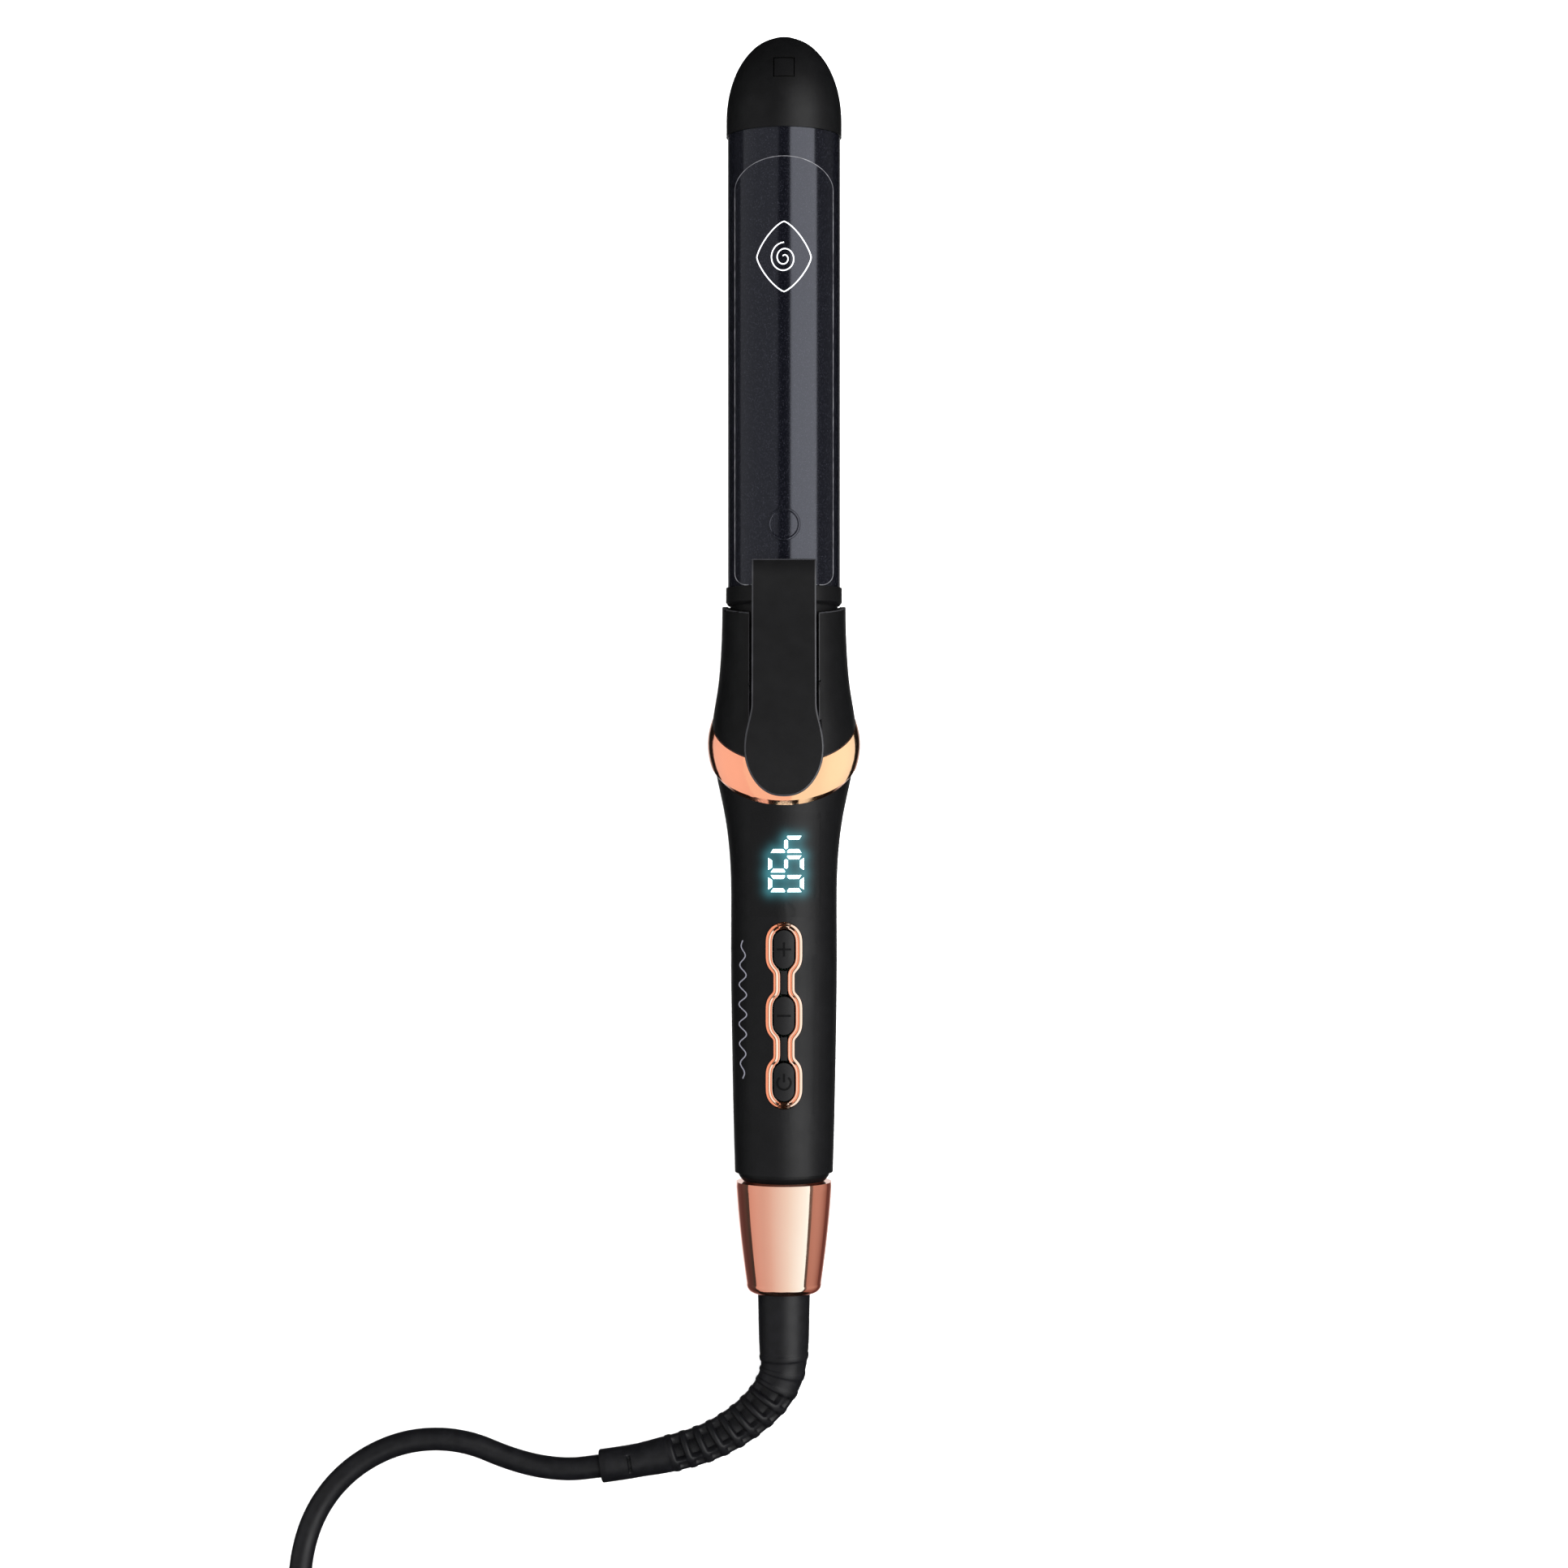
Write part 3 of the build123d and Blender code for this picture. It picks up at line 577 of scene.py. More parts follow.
def refined(node, width_mm, body, bevel_highlight_look=None, angle=28.0, segments=3):
    """A CAD node's own shape with its seams welded and its edges rounded. It stands for the node."""
    source = nodes[node]
    mesh = source.data.copy()
    work = bmesh.new()
    work.from_mesh(mesh)
    bmesh.ops.remove_doubles(work, verts=work.verts, dist=1e-6)
    flat = math.radians(0.6)
    bmesh.ops.dissolve_limit(work, angle_limit=flat, verts=work.verts, edges=work.edges)
    work.to_mesh(mesh)
    work.free()
    mesh.shade_smooth()
    mesh.set_sharp_from_angle(angle=math.radians(angle))
    piece = link_mesh(node + "_refined", mesh, source.data.materials[0], body)
    bevel = piece.modifiers.new("edges", "BEVEL")
    bevel.width = width_mm * MM
    bevel.segments = segments
    bevel.limit_method = "ANGLE"
    bevel.angle_limit = math.radians(angle)
    bevel.use_clamp_overlap = bevel_highlight_look is None
    weights = piece.modifiers.new("area_weights", "WEIGHTED_NORMAL")
    weights.keep_sharp = True
    # The rounded edges can take a second look: a lighter colour painted on them as a highlight.
    if bevel_highlight_look:
        mesh.materials.append(looks[bevel_highlight_look])
        bevel.material = 1
    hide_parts(node)
    return piece


# Surfaces, and flat shapes laid on them


def surface_of(*names):
    """A search tree over CAD nodes, in the iron's own frame."""
    to_iron = iron.inverted()
    vertices, faces = [], []
    for name in names:
        start = len(vertices)
        mesh = nodes[name].data
        vertices.extend(to_iron @ vertex.co for vertex in mesh.vertices)
        faces.extend([start + index for index in polygon.vertices] for polygon in mesh.polygons)
    return BVHTree.FromPolygons(vertices, faces)


def drop(tree, x, y, proud=0.0):
    """The point over (x, y) on a surface, seen from the clip side, raised by proud."""
    hit, normal, _, _ = tree.ray_cast(Vector((x * MM, y * MM, RAY_START * MM)), Vector((0, 0, -1)))
    if hit is None:
        raise ValueError(f"nothing lies under {x:.2f}, {y:.2f}")
    if normal.z < 0:
        normal = -normal
    return iron @ (hit + normal * proud * MM)


def outside_radius(tree, y):
    """Radius of a round surface at a place along the iron, in millimetres."""
    reach = 0.0
    for angle in angles_round(24):
        out = Vector((math.cos(angle), 0, math.sin(angle)))
        hit = tree.ray_cast(out * RAY_START * MM + Vector((0, y * MM, 0)), -out)[0]
        if hit is not None:
            reach = max(reach, math.hypot(hit.x, hit.z) / MM)
    return reach


def laid_piece(name, work, tree, proud, sink, look, body):
    """A piece made by laying the flat faces in work on a surface, proud of it and sunk into it."""
    bmesh.ops.recalc_face_normals(work, faces=work.faces)
    raised = bmesh.ops.extrude_face_region(work, geom=work.faces)
    top = {item for item in raised["geom"] if isinstance(item, bmesh.types.BMVert)}
    for vertex in work.verts:
        vertex.co = drop(tree, vertex.co.x, vertex.co.y, proud if vertex in top else -sink)
    bmesh.ops.recalc_face_normals(work, faces=work.faces)
    mesh = bpy.data.meshes.new(name)
    work.to_mesh(mesh)
    work.free()
    return link_mesh(name, mesh, look, body)


def conform(name, outlines, tree, proud, sink, cuts, look, body):
    """Flat shapes, given as (x, y) outlines, laid on a surface with a small thickness."""
    work = bmesh.new()
    for outline in outlines:
        work.faces.new([work.verts.new((x, y, 0)) for x, y in outline])
    bmesh.ops.triangulate(work, faces=work.faces)
    bmesh.ops.subdivide_edges(work, edges=work.edges, cuts=cuts, use_grid_fill=True)
    return laid_piece(name, work, tree, proud, sink, look, body)


def ribbon_outlines(points, width):
    """Short quads along a line of (x, y) points."""
    edges = []
    count = len(points)
    for index, (x, y) in enumerate(points):
        before = points[max(index - 1, 0)]
        after = points[min(index + 1, count - 1)]
        dx, dy = after[0] - before[0], after[1] - before[1]
        size = math.hypot(dx, dy)
        off_x, off_y = -dy / size * width / 2, dx / size * width / 2
        edges.append(((x + off_x, y + off_y), (x - off_x, y - off_y)))
    return [[a[0], a[1], b[1], b[0]] for a, b in zip(edges, edges[1:])]


def line_piece(name, lines, width, tree, proud, look, body):
    """Thin raised lines on a surface, each a welded strip."""
    work = bmesh.new()
    for points in lines:
        for quad in ribbon_outlines(points, width):
            work.faces.new([work.verts.new((x, y, 0)) for x, y in quad])
    bmesh.ops.remove_doubles(work, verts=work.verts, dist=0.002)
    return laid_piece(name, work, tree, proud, 0.05, look, body)


# Collar, handle's end, ring and clip


def make_collar_detail():
    """End collar as one smooth turned surface, its outside read from the CAD part."""
    tree = surface_of("end_collar")
    top, end, bend = COLLAR_TOP, COLLAR_END, COLLAR_END + COLLAR_END_ROUNDING
    heights = [top - 0.01] + [top + (bend - top) * step / 24 for step in range(1, 24)]
    heights += [bend + (end - bend) * step / 12 for step in range(13)]
    heights[-1] = end + 0.01
    outside = [(outside_radius(tree, y), y) for y in heights]
    profile = [(COLLAR_BORE, top), (outside[0][0] - 0.15, top), *outside[1:]]
    profile += [(COLLAR_MOUTH, end), (COLLAR_MOUTH, end + 3.6), (COLLAR_BORE - 2.0, end + 5.6)]
    collar = turned_piece("end_collar_detail", profile, "rose_gold")
    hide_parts("end_collar")


def make_handle_step():
    """The handle's end, a black step that narrows towards the collar."""
    bend, end = STEP_TOP - 1.3, STEP_TOP - 3.1
    profile = [
        (STEP_BORE, STEP_TOP), (STEP_RADIUS, STEP_TOP), (STEP_RADIUS, bend),
        (STEP_RADIUS - 0.3, bend - 0.6), (STEP_RADIUS - 1.2, end + 0.1), (STEP_BORE, end),
    ]
    turned_piece("handle_end_step", profile, "satin")


def darken_inside(piece):
    """Unplated black on the faces that look towards the iron's axis."""
    mesh = piece.data
    mesh.materials.append(looks["satin"])
    to_iron = iron.inverted()
    turn = to_iron.to_3x3()
    for polygon in mesh.polygons:
        centre, normal = to_iron @ polygon.center, turn @ polygon.normal
        if centre.x * normal.x + centre.z * normal.z < -0.3 * math.hypot(centre.x, centre.z):
            polygon.material_index = 1


def clip_outline(inset):
    """The clip's outline from the middle of its lower end round to the same point, in plan."""
    wide, low = CLIP_HALF_WIDTH - inset, CLIP_LOW + inset
    corner = CLIP_CORNER - inset
    right = [(wide * step / 8, low) for step in range(4)]
    for step in range(9):
        angle = math.radians(-90 + 90 * step / 8)
        right.append((wide - corner + corner * math.cos(angle), low + corner + corner * math.sin(angle)))
    side_low = low + corner
    right += [(wide, side_low + (CLIP_SIDE_TOP - side_low) * step / 40) for step in range(1, 41)]
    crown = CLIP_APEX - inset - CLIP_SIDE_TOP
    for step in range(1, 25):
        angle = math.radians(90 * step / 24)
        right.append((wide * math.cos(angle), CLIP_SIDE_TOP + crown * math.sin(angle)))
    return right + [(-x, y) for x, y in reversed(right[:-1])]


def make_clip_detail():
    """The clip's sheet with true round shading, and a grey line painted along its edges as a highlight."""
    source = nodes["clip_plate"]
    mesh = source.data.copy()
    to_iron = iron.inverted()
    normals = []
    for polygon in mesh.polygons:
        facing = to_iron.to_3x3() @ polygon.normal
        for index in polygon.vertices:
            spot = to_iron @ mesh.vertices[index].co
            out = Vector((spot.x, 0, spot.z)).normalized()
            side = facing.dot(out)
            if abs(side) > 0.9:
                normals.append(iron.to_3x3() @ (out * math.copysign(1, side)))
            else:
                normals.append(polygon.normal)
    mesh.normals_split_custom_set(normals)
    clip = link_mesh("clip_plate_detail", mesh, looks["barrel"], "clip")
    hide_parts("clip_plate")
    line_piece(
        "clip_highlight_line", [clip_outline(HIGHLIGHT_INSET)], HIGHLIGHT_WIDTH, surface_of("clip_plate"), HIGHLIGHT_PROUD,
        looks["edge_highlight_grey"], "clip",
    )


# Cord


def smooth_curve(name, points):
    """Curve data that runs smoothly near the given control points, from the first to the last."""
    data = bpy.data.curves.new(name, "CURVE")
    data.dimensions = "3D"
    spline = data.splines.new("NURBS")
    spline.points.add(len(points) - 1)
    for point, target in zip(spline.points, points):
        point.co = (*target, 1)
    spline.order_u = 3
    spline.use_endpoint_u = True
    return data


def curve_piece(name, points, radius, look, body):
    """A round cord along a smooth line near the given points."""
    data = smooth_curve(name, [[value * MM for value in point] for point in points])
    data.bevel_depth = radius * MM
    data.bevel_resolution = 6
    data.resolution_u = 10
    data.use_fill_caps = True
    piece = bpy.data.objects.new(name, data)
    bpy.context.scene.collection.objects.link(piece)
    data.materials.append(look)
    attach(piece, body)
    return piece


def coil_points():
    """Two layers of flat turns: inwards below, over the innermost turn to the upper layer, and outwards."""
    outward_from = TURNS_PER_LAYER + INNER_TURNS_BETWEEN
    total = outward_from + TURNS_PER_LAYER + 1.0
    shrink = (COIL_OUTER_TURN - COIL_INNER_TURN) / TURNS_PER_LAYER
    inside_the_points = 0.75 + 0.25 * math.cos(2 * math.pi / POINTS_PER_TURN)
    low, high = COIL_LAYERS
    points = []
    for count in range(1, round(total * POINTS_PER_TURN)):
        turn = count / POINTS_PER_TURN
        if turn < TURNS_PER_LAYER:
            radius = COIL_OUTER_TURN - shrink * turn
        elif turn < outward_from:
            radius = COIL_INNER_TURN
        else:
            radius = COIL_INNER_TURN + shrink * (turn - outward_from)
        radius = min(radius, COIL_OUTER_TURN) / inside_the_points
        climb = min(max((turn - TURNS_PER_LAYER - 0.3) / 0.8, 0.0), 1.0)
        height = low + (high - low) * climb * climb * (3 - 2 * climb)
        angle = math.pi + 2 * math.pi * turn
        x = COIL_CENTRE[0] + radius * math.cos(angle)
        y = COIL_CENTRE[1] + radius * math.sin(angle)
        points.append((x, y, height))
    return points


def tail_point(along, height):
    """A point on the straight line that leaves the coil towards the plug."""
    heading = math.radians(TAIL_HEADING)
    start = heading - math.pi / 2
    return (
        COIL_CENTRE[0] + COIL_OUTER_TURN * math.cos(start) + along * math.cos(heading),
        COIL_CENTRE[1] + COIL_OUTER_TURN * math.sin(start) + along * math.sin(heading),
        height,
    )


def make_power_cord():
    high = COIL_LAYERS[1]
    tail = [
        tail_point(8.0, high),
        tail_point(20.0, high - 0.3),
        tail_point(34.0, PLUG_AXIS_HEIGHT + 0.4),
        tail_point(TAIL_LENGTH, PLUG_AXIS_HEIGHT),
        tail_point(TAIL_LENGTH + 12.0, PLUG_AXIS_HEIGHT),
    ]
    points = [CORD_START] + CORD_ROUTE + coil_points() + tail
    cord = curve_piece("power_cord", points, CORD_RADIUS, looks["cord"], "cord_side")
    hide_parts("cord_tube", "cord_coil", "cord_tail")
    return cord


# Strain relief


def line_points(control):
    """Points read along the smooth line that a cord with these control points would follow."""
    data = smooth_curve("guide", control)
    data.resolution_u = 24
    guide = bpy.data.objects.new("guide", data)
    mesh = bpy.data.meshes.new_from_object(guide)
    points = [vertex.co.copy() for vertex in mesh.vertices]
    bpy.data.objects.remove(guide)
    bpy.data.meshes.remove(mesh)
    return points


class Route:
    """A line measured by the distance along it, with a frame at each point."""

    def __init__(self, points):
        self.points = points
        self.marks = [0.0]
        for a, b in zip(points, points[1:]):
            self.marks.append(self.marks[-1] + (b - a).length)
        self.length = self.marks[-1]

    def at(self, distance):
        distance = min(max(distance, 0.0), self.length)
        index = 0
        while index < len(self.marks) - 2 and self.marks[index + 1] < distance:
            index += 1
        step = self.marks[index + 1] - self.marks[index]
        share = (distance - self.marks[index]) / step
        return self.points[index].lerp(self.points[index + 1], share)

    def frame(self, distance):
        """The point, the direction along, and the directions up and aside."""
        along = (self.at(distance + 0.8) - self.at(distance - 0.8)).normalized()
        up = Vector((0, 0, 1))
        up = (up - along * up.dot(along)).normalized()
        return self.at(distance), along, up, along.cross(up)


def step_between(value, low, high):
    """0 below low, 1 above high, smooth between."""
    share = min(max((value - low) / (high - low), 0.0), 1.0)
    return share * share * (3 - 2 * share)


def rib_pitch(length):
    """Distance from rib to rib on a relief of the given length."""
    return (length - RIB_END_BEFORE_TAIL - RIB_START) / (RELIEF_RIBS - 1)


def relief_base_radius(distance, length):
    """Outside of the relief without ribs: a straight sleeve, then a taper to the tail."""
    shape = [
        (0.0, 7.0), (6.6, 7.4), (22.0, 7.1), (28.0, 6.4), (34.0, 6.1), (45.0, 5.65), (55.0, 5.4),
        (62.0, 5.3), (length - 17.0, 5.1), (length - 12.0, 4.75), (length, 4.75),
    ]
    for (low, low_radius), (high, high_radius) in zip(shape, shape[1:]):
        if distance <= high:
            return low_radius + (high_radius - low_radius) * (distance - low) / (high - low)
    return shape[-1][1]


def relief_radius(distance, turn, length):
    """Radius at a distance along the relief and an angle about it, with ribs and the windows between."""
    base = relief_base_radius(distance, length)
    pitch = rib_pitch(length)
    place_in_zone = (distance - RIB_START) / pitch
    if -0.5 < place_in_zone < RELIEF_RIBS - 0.5:
        off = abs(place_in_zone - round(place_in_zone)) * pitch
        rib = 1.0 - step_between(off, 0.6, 1.1)
        inside = RIB_START + WINDOWS_FROM_RIB * pitch < distance < length - RIB_END_BEFORE_TAIL
        window = step_between(off, 0.7, 1.2) if inside else 0.0
        web = min(abs(turn - WEB_TURN), abs(turn + math.pi - WEB_TURN)) * base
        facing = min(abs(turn), math.pi - abs(turn))
        opening = (1.0 - step_between(facing, 0.8, 1.15)) * step_between(web, 0.5, 1.2)
        return base + RIB_HEIGHT * rib - window * opening * WINDOW_DEPTH
    slot_off = abs(distance - (length - SLOT_BEFORE_TAIL))
    slot = (1.0 - step_between(slot_off, 0.4, 0.6)) * (1.0 - step_between(abs(turn + 0.1), 0.45, 0.6))
    return base - SLOT_DEPTH * slot


def relief_stations(length):
    """Distances along the relief with a ring of points each, closest at the ribs' and the slot's edges."""
    pitch = rib_pitch(length)
    stations = {0.0, 3.0, 6.6, 11.0, 16.0, 20.0, 23.0, length}
    for rib in range(RELIEF_RIBS):
        for off in (-1.15, -0.97, -0.8, -0.4, 0.0, 0.4, 0.8, 0.97, 1.15, pitch / 2 - 0.5, pitch / 2):
            stations.add(RIB_START + rib * pitch + off)
    for off in (-7.0, -3.0, -0.6, -0.5, -0.4, 0.4, 0.5, 0.6, 3.0, 6.5):
        stations.add(length - SLOT_BEFORE_TAIL + off)
    return sorted(station for station in stations if 0.0 <= station <= length)


def make_strain_relief_detail():
    control = [place(0, y, 0) / MM for y in RELIEF_AXIS_POINTS]
    route = Route(line_points(control + [Vector(point) for point in RELIEF_BEND]))
    length = route.length
    rings = relief_stations(length)
    turns = angles_round(RELIEF_SIDES)
    vertices = []
    for distance in rings:
        before_tail = 1 - step_between(distance, length - 19.0, length - 12.0)
        slant = RIB_SLANT * step_between(distance, 20.0, 26.0) * before_tail
        for turn in turns:
            signed = turn if turn <= math.pi else turn - 2 * math.pi
            centre, _, up, aside = route.frame(distance + slant * math.sin(turn))
            radius = relief_radius(distance, signed, length)
            vertex = centre + (up * math.cos(turn) + aside * math.sin(turn)) * radius
            vertex.z = max(vertex.z, TABLE_GAP)
            vertices.append(vertex)
    centre, along, up, aside = route.frame(length)
    for radius, back in ((4.35, 0.35), (3.45, 0.35), (3.3, -1.5)):
        for turn in turns:
            out = up * math.cos(turn) + aside * math.sin(turn)
            vertices.append(centre + along * back + out * radius)
    faces = rings_to_faces(len(rings) + 3, RELIEF_SIDES)
    relief = smooth_piece(
        "strain_relief_detail", [vertex * MM for vertex in vertices], faces, 50.0,
        "relief", "cord_side",
    )
    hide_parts("strain_relief")
    return relief


# Button panel


def band_centre_line():
    """The middle of the bezel's band round three linked lobes, with softened corners."""
    radius = LOBE_RADIUS - BAND_HALF_WIDTH
    neck = NECK_HALF_WIDTH - BAND_HALF_WIDTH + 0.12
    corner = math.asin(neck / radius)
    right = []
    for lobe in range(3):
        centre = BUTTON_FIRST - lobe * BUTTON_PITCH
        first = 0.0 if lobe == 0 else corner
        last = math.pi if lobe == 2 else math.pi - corner
        for step in range(13):
            angle = first + (math.pi / 2 - first) * step / 12
            right.append((radius * math.sin(angle), centre + LOBE_STRAIGHT + radius * math.cos(angle)))
        for step in range(13):
            angle = math.pi / 2 + (last - math.pi / 2) * step / 12
            right.append((radius * math.sin(angle), centre - LOBE_STRAIGHT + radius * math.cos(angle)))
    loop = [Vector(point) for point in right]
    loop += [Vector((-x, y)) for x, y in reversed(right[1:-1])]
    route = Route([Vector((point.x, point.y, 0)) for point in loop + loop[:1]])
    count = round(route.length / BAND_POINT_SPACING)
    even = [route.at(route.length * index / count) for index in range(count)]
    for _ in range(BAND_SMOOTHINGS):
        after = even[1:] + even[:1]
        even = [(even[index - 1] + even[index] * 2 + after[index]) / 4 for index in range(count)]
    return even


def handle_radius(tree, y):
    """Radius of the handle's outside at a place along it, read beside the button panel."""
    hit = tree.ray_cast(Vector((BESIDE_PANEL * MM, y * MM, RAY_START * MM)), Vector((0, 0, -1)))[0]
    return math.hypot(hit.x, hit.z) / MM


def make_bezel_detail():
    """Plated bezel: a crowned outer band, a groove, and a thin inner lip."""
    handle = surface_of("handle_front")
    middle = band_centre_line()
    count = len(middle)
    vertices = []
    for index, point in enumerate(middle):
        run = middle[(index + 1) % count] - middle[index - 1]
        inward = Vector((-run.y, run.x, 0)).normalized()
        if inward.dot(Vector((-point.x, 0, 0))) < 0 and abs(point.x) > 1.5:
            inward = -inward
        for offset, height in BAND_SECTION:
            x, y = point.x + inward.x * offset, point.y + inward.y * offset
            radius = handle_radius(handle, y) + height
            vertices.append(place(x, y, math.sqrt(radius * radius - x * x)))
    faces = rings_to_faces(count, len(BAND_SECTION), close_rings=True, caps=False)
    bezel = smooth_piece("button_bezel_detail", vertices, faces, 60.0, "bright_rose", "handle")
    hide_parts("button_bezel")


def make_key_symbols():
    """Faintly raised plus, minus and power symbols."""
    power = BUTTON_FIRST - 2 * BUTTON_PITCH
    angles = [math.radians(degrees) for degrees in range(40, 321, 10)]
    arc = [(1.9 * math.sin(angle), power - 0.2 + 1.9 * math.cos(angle)) for angle in angles]
    minus = BUTTON_FIRST - BUTTON_PITCH
    symbols = {
        "button_plus": [
            [(-2.0, BUTTON_FIRST), (0, BUTTON_FIRST), (2.0, BUTTON_FIRST)],
            [(0, BUTTON_FIRST - 2.0), (0, BUTTON_FIRST), (0, BUTTON_FIRST + 2.0)],
        ],
        "button_minus": [[(-1.9, minus), (0, minus), (1.9, minus)]],
        "button_power": [arc, [(0, power), (0, power + 1.2), (0, power + 2.4)]],
    }
    bodies = {"button_plus": "key_plus", "button_minus": "key_minus", "button_power": "key_power"}
    for node, lines in symbols.items():
        for count, line in enumerate(lines):
            line_piece(
                f"{node}_symbol_{count + 1}", [line], SYMBOL_LINE, surface_of(node), SYMBOL_PROUD,
                looks["symbol"], bodies[node],
            )


# Display


def digit_segments():
    """The seven segments of a figure as outlines in its own frame: across, and up from its foot."""
    w, h, t, g = DIGIT_WIDTH, DIGIT_HEIGHT, SEGMENT, SEGMENT_GAP
    mid, half = h / 2, t / 2
    cut = SEGMENT_GAP + SEGMENT_CUT
    top = [(cut, h), (w - cut, h), (w - t - g, h - t), (t + g, h - t)]
    upper_right = [
        (w, h - cut), (w, mid + g), (w - half, mid + g), (w - t, mid + half + g), (w - t, h - t - g),
    ]
    middle = [
        (t * 0.62 + g, mid), (t + g, mid + half), (w - t - g, mid + half), (w - t * 0.62 - g, mid),
        (w - t - g, mid - half), (t + g, mid - half),
    ]
    lower_right = [(x, h - y) for x, y in upper_right]
    return {
        "a": top,
        "b": upper_right,
        "c": lower_right,
        "d": [(x, h - y) for x, y in top],
        "e": [(w - x, y) for x, y in lower_right],
        "f": [(w - x, y) for x, y in upper_right],
        "g": middle,
    }


def lit_outlines():
    """Outlines of all lit segments on the handle: figures read down the handle, tops towards +X."""
    outlines = []
    shapes = digit_segments()
    for count, lit in enumerate(SEGMENTS_LIT):
        start = DIGITS_TOP_Y - count * DIGIT_PITCH
        for letter in lit:
            outlines.append([(DIGIT_BOTTOM_X + up, start - across) for across, up in shapes[letter]])
    return outlines


def outline_distance(outline, x, y):
    """Distance from a point to a small outline, 0 inside it."""
    inside = False
    nearest = 1e9
    for (ax, ay), (bx, by) in zip(outline, outline[1:] + outline[:1]):
        if (ay > y) != (by > y) and x < (bx - ax) * (y - ay) / (by - ay) + ax:
            inside = not inside
        run_x, run_y = bx - ax, by - ay
        share = ((x - ax) * run_x + (y - ay) * run_y) / (run_x * run_x + run_y * run_y)
        share = min(max(share, 0.0), 1.0)
        nearest = min(nearest, math.hypot(x - ax - share * run_x, y - ay - share * run_y))
    return 0.0 if inside else nearest


def make_display():
    """Lit figures, and the light that spreads through the coating round them."""
    surface = surface_of("display_lens", "handle_front")
    outlines = lit_outlines()
    conform("display_figures", outlines, surface, 0.05, 0.04, 3, looks["lit"], "handle")
    columns = round((GLOW_X[1] - GLOW_X[0]) / GLOW_STEP)
    rows = round((GLOW_Y[1] - GLOW_Y[0]) / GLOW_STEP)
    vertices, glow, faces = [], [], []
    for row in range(rows + 1):
        for column in range(columns + 1):
            x, y = GLOW_X[0] + column * GLOW_STEP, GLOW_Y[0] + row * GLOW_STEP
            border = column in (0, columns) or row in (0, rows)
            vertices.append(drop(surface, x, y, -0.03 if border else 0.02))
            reaches = [outline_distance(shape, x, y) / GLOW_REACH for shape in outlines]
            light = sum(math.exp(-(reach ** GLOW_FALL)) for reach in reaches)
            glow.append(1.0 - math.exp(-GLOW_GAIN * light))
    for row in range(rows):
        for column in range(columns):
            corner = row * (columns + 1) + column
            faces.append((corner, corner + 1, corner + columns + 2, corner + columns + 1))
    mesh = bpy.data.meshes.new("display_glow")
    mesh.from_pydata([tuple(vertex) for vertex in vertices], [], faces)
    mesh.shade_smooth()
    attribute = mesh.attributes.new("glow", "FLOAT", "POINT")
    attribute.data.foreach_set("value", glow)
    link_mesh("display_glow", mesh, looks["glow"], "handle")


# Ornaments in place of marks


def rounded_lozenge(x, y, half_width, half_height, softness):
    """A diamond outline with soft corners."""
    corners = [superellipse(2 * math.pi * step / 96, softness) for step in range(97)]
    return [(x + half_width * across, y + half_height * up) for across, up in corners]


def curl(x, y, turns, outer, start):
    """A spiral like a lock of hair."""
    points = []
    steps = round(turns * 30)
    for step in range(steps + 1):
        share = step / steps
        angle = start + 2 * math.pi * turns * share
        radius = outer * (1 - 0.86 * share)
        points.append((x + radius * math.cos(angle), y + radius * math.sin(angle) * 1.12))
    return points


def wave(x, y_low, y_high, swing, periods):
    """A wavy line along the iron, whose swing dies away at both ends."""
    points = []
    steps = round(periods * 20)
    for step in range(steps + 1):
        share = step / steps
        fade = math.sin(math.pi * share) ** 0.4
        off = swing * math.sin(2 * math.pi * periods * share) * fade
        points.append((x + off, y_low + (y_high - y_low) * share))
    return points


def make_raised_ring(surface):
    """A plain round ridge pressed into the clip."""
    sides, around = 96, 12
    vertices = []
    for angle in angles_round(sides):
        for turn in angles_round(around):
            reach = RIDGE_RADIUS + RIDGE_HALF_WIDTH * math.cos(turn)
            x, y = reach * math.cos(angle), RIDGE_Y + reach * math.sin(angle)
            vertices.append(drop(surface, x, y, RIDGE_HEIGHT * math.sin(turn)))
    faces = rings_to_faces(sides, around, close_rings=True)
    smooth_piece("clip_raised_ring", vertices, faces, 80.0, "barrel", "clip")


def make_ornaments():
    clip_surface = surface_of("clip_plate")
    outline = rounded_lozenge(0, EMBLEM_Y, *EMBLEM_HALF_SIZE, EMBLEM_SOFTNESS)
    hair = curl(0, EMBLEM_Y - 0.4, CURL_TURNS, CURL_RADIUS, math.pi / 2)
    line_piece(
        "clip_ornament", [outline, hair], EMBLEM_LINE, clip_surface, PRINT_PROUD,
        looks["white_print"], "clip",
    )
    make_raised_ring(clip_surface)
    line_piece(
        "handle_ornament", [wave(WAVE_X, *WAVE_Y, WAVE_SWING, WAVE_PERIODS)], WAVE_LINE,
        surface_of("handle_front", "handle_rear"), PRINT_PROUD, looks["grey_print"], "handle",
    )


# Plug and strap


def plug_matrix():
    """The plug's frame: X from the cord's end to the blades, Z up."""
    origin = Vector(tail_point(TAIL_LENGTH, PLUG_AXIS_HEIGHT)) * MM
    return Matrix.Translation(origin) @ Matrix.Rotation(math.radians(TAIL_HEADING), 4, "Z")


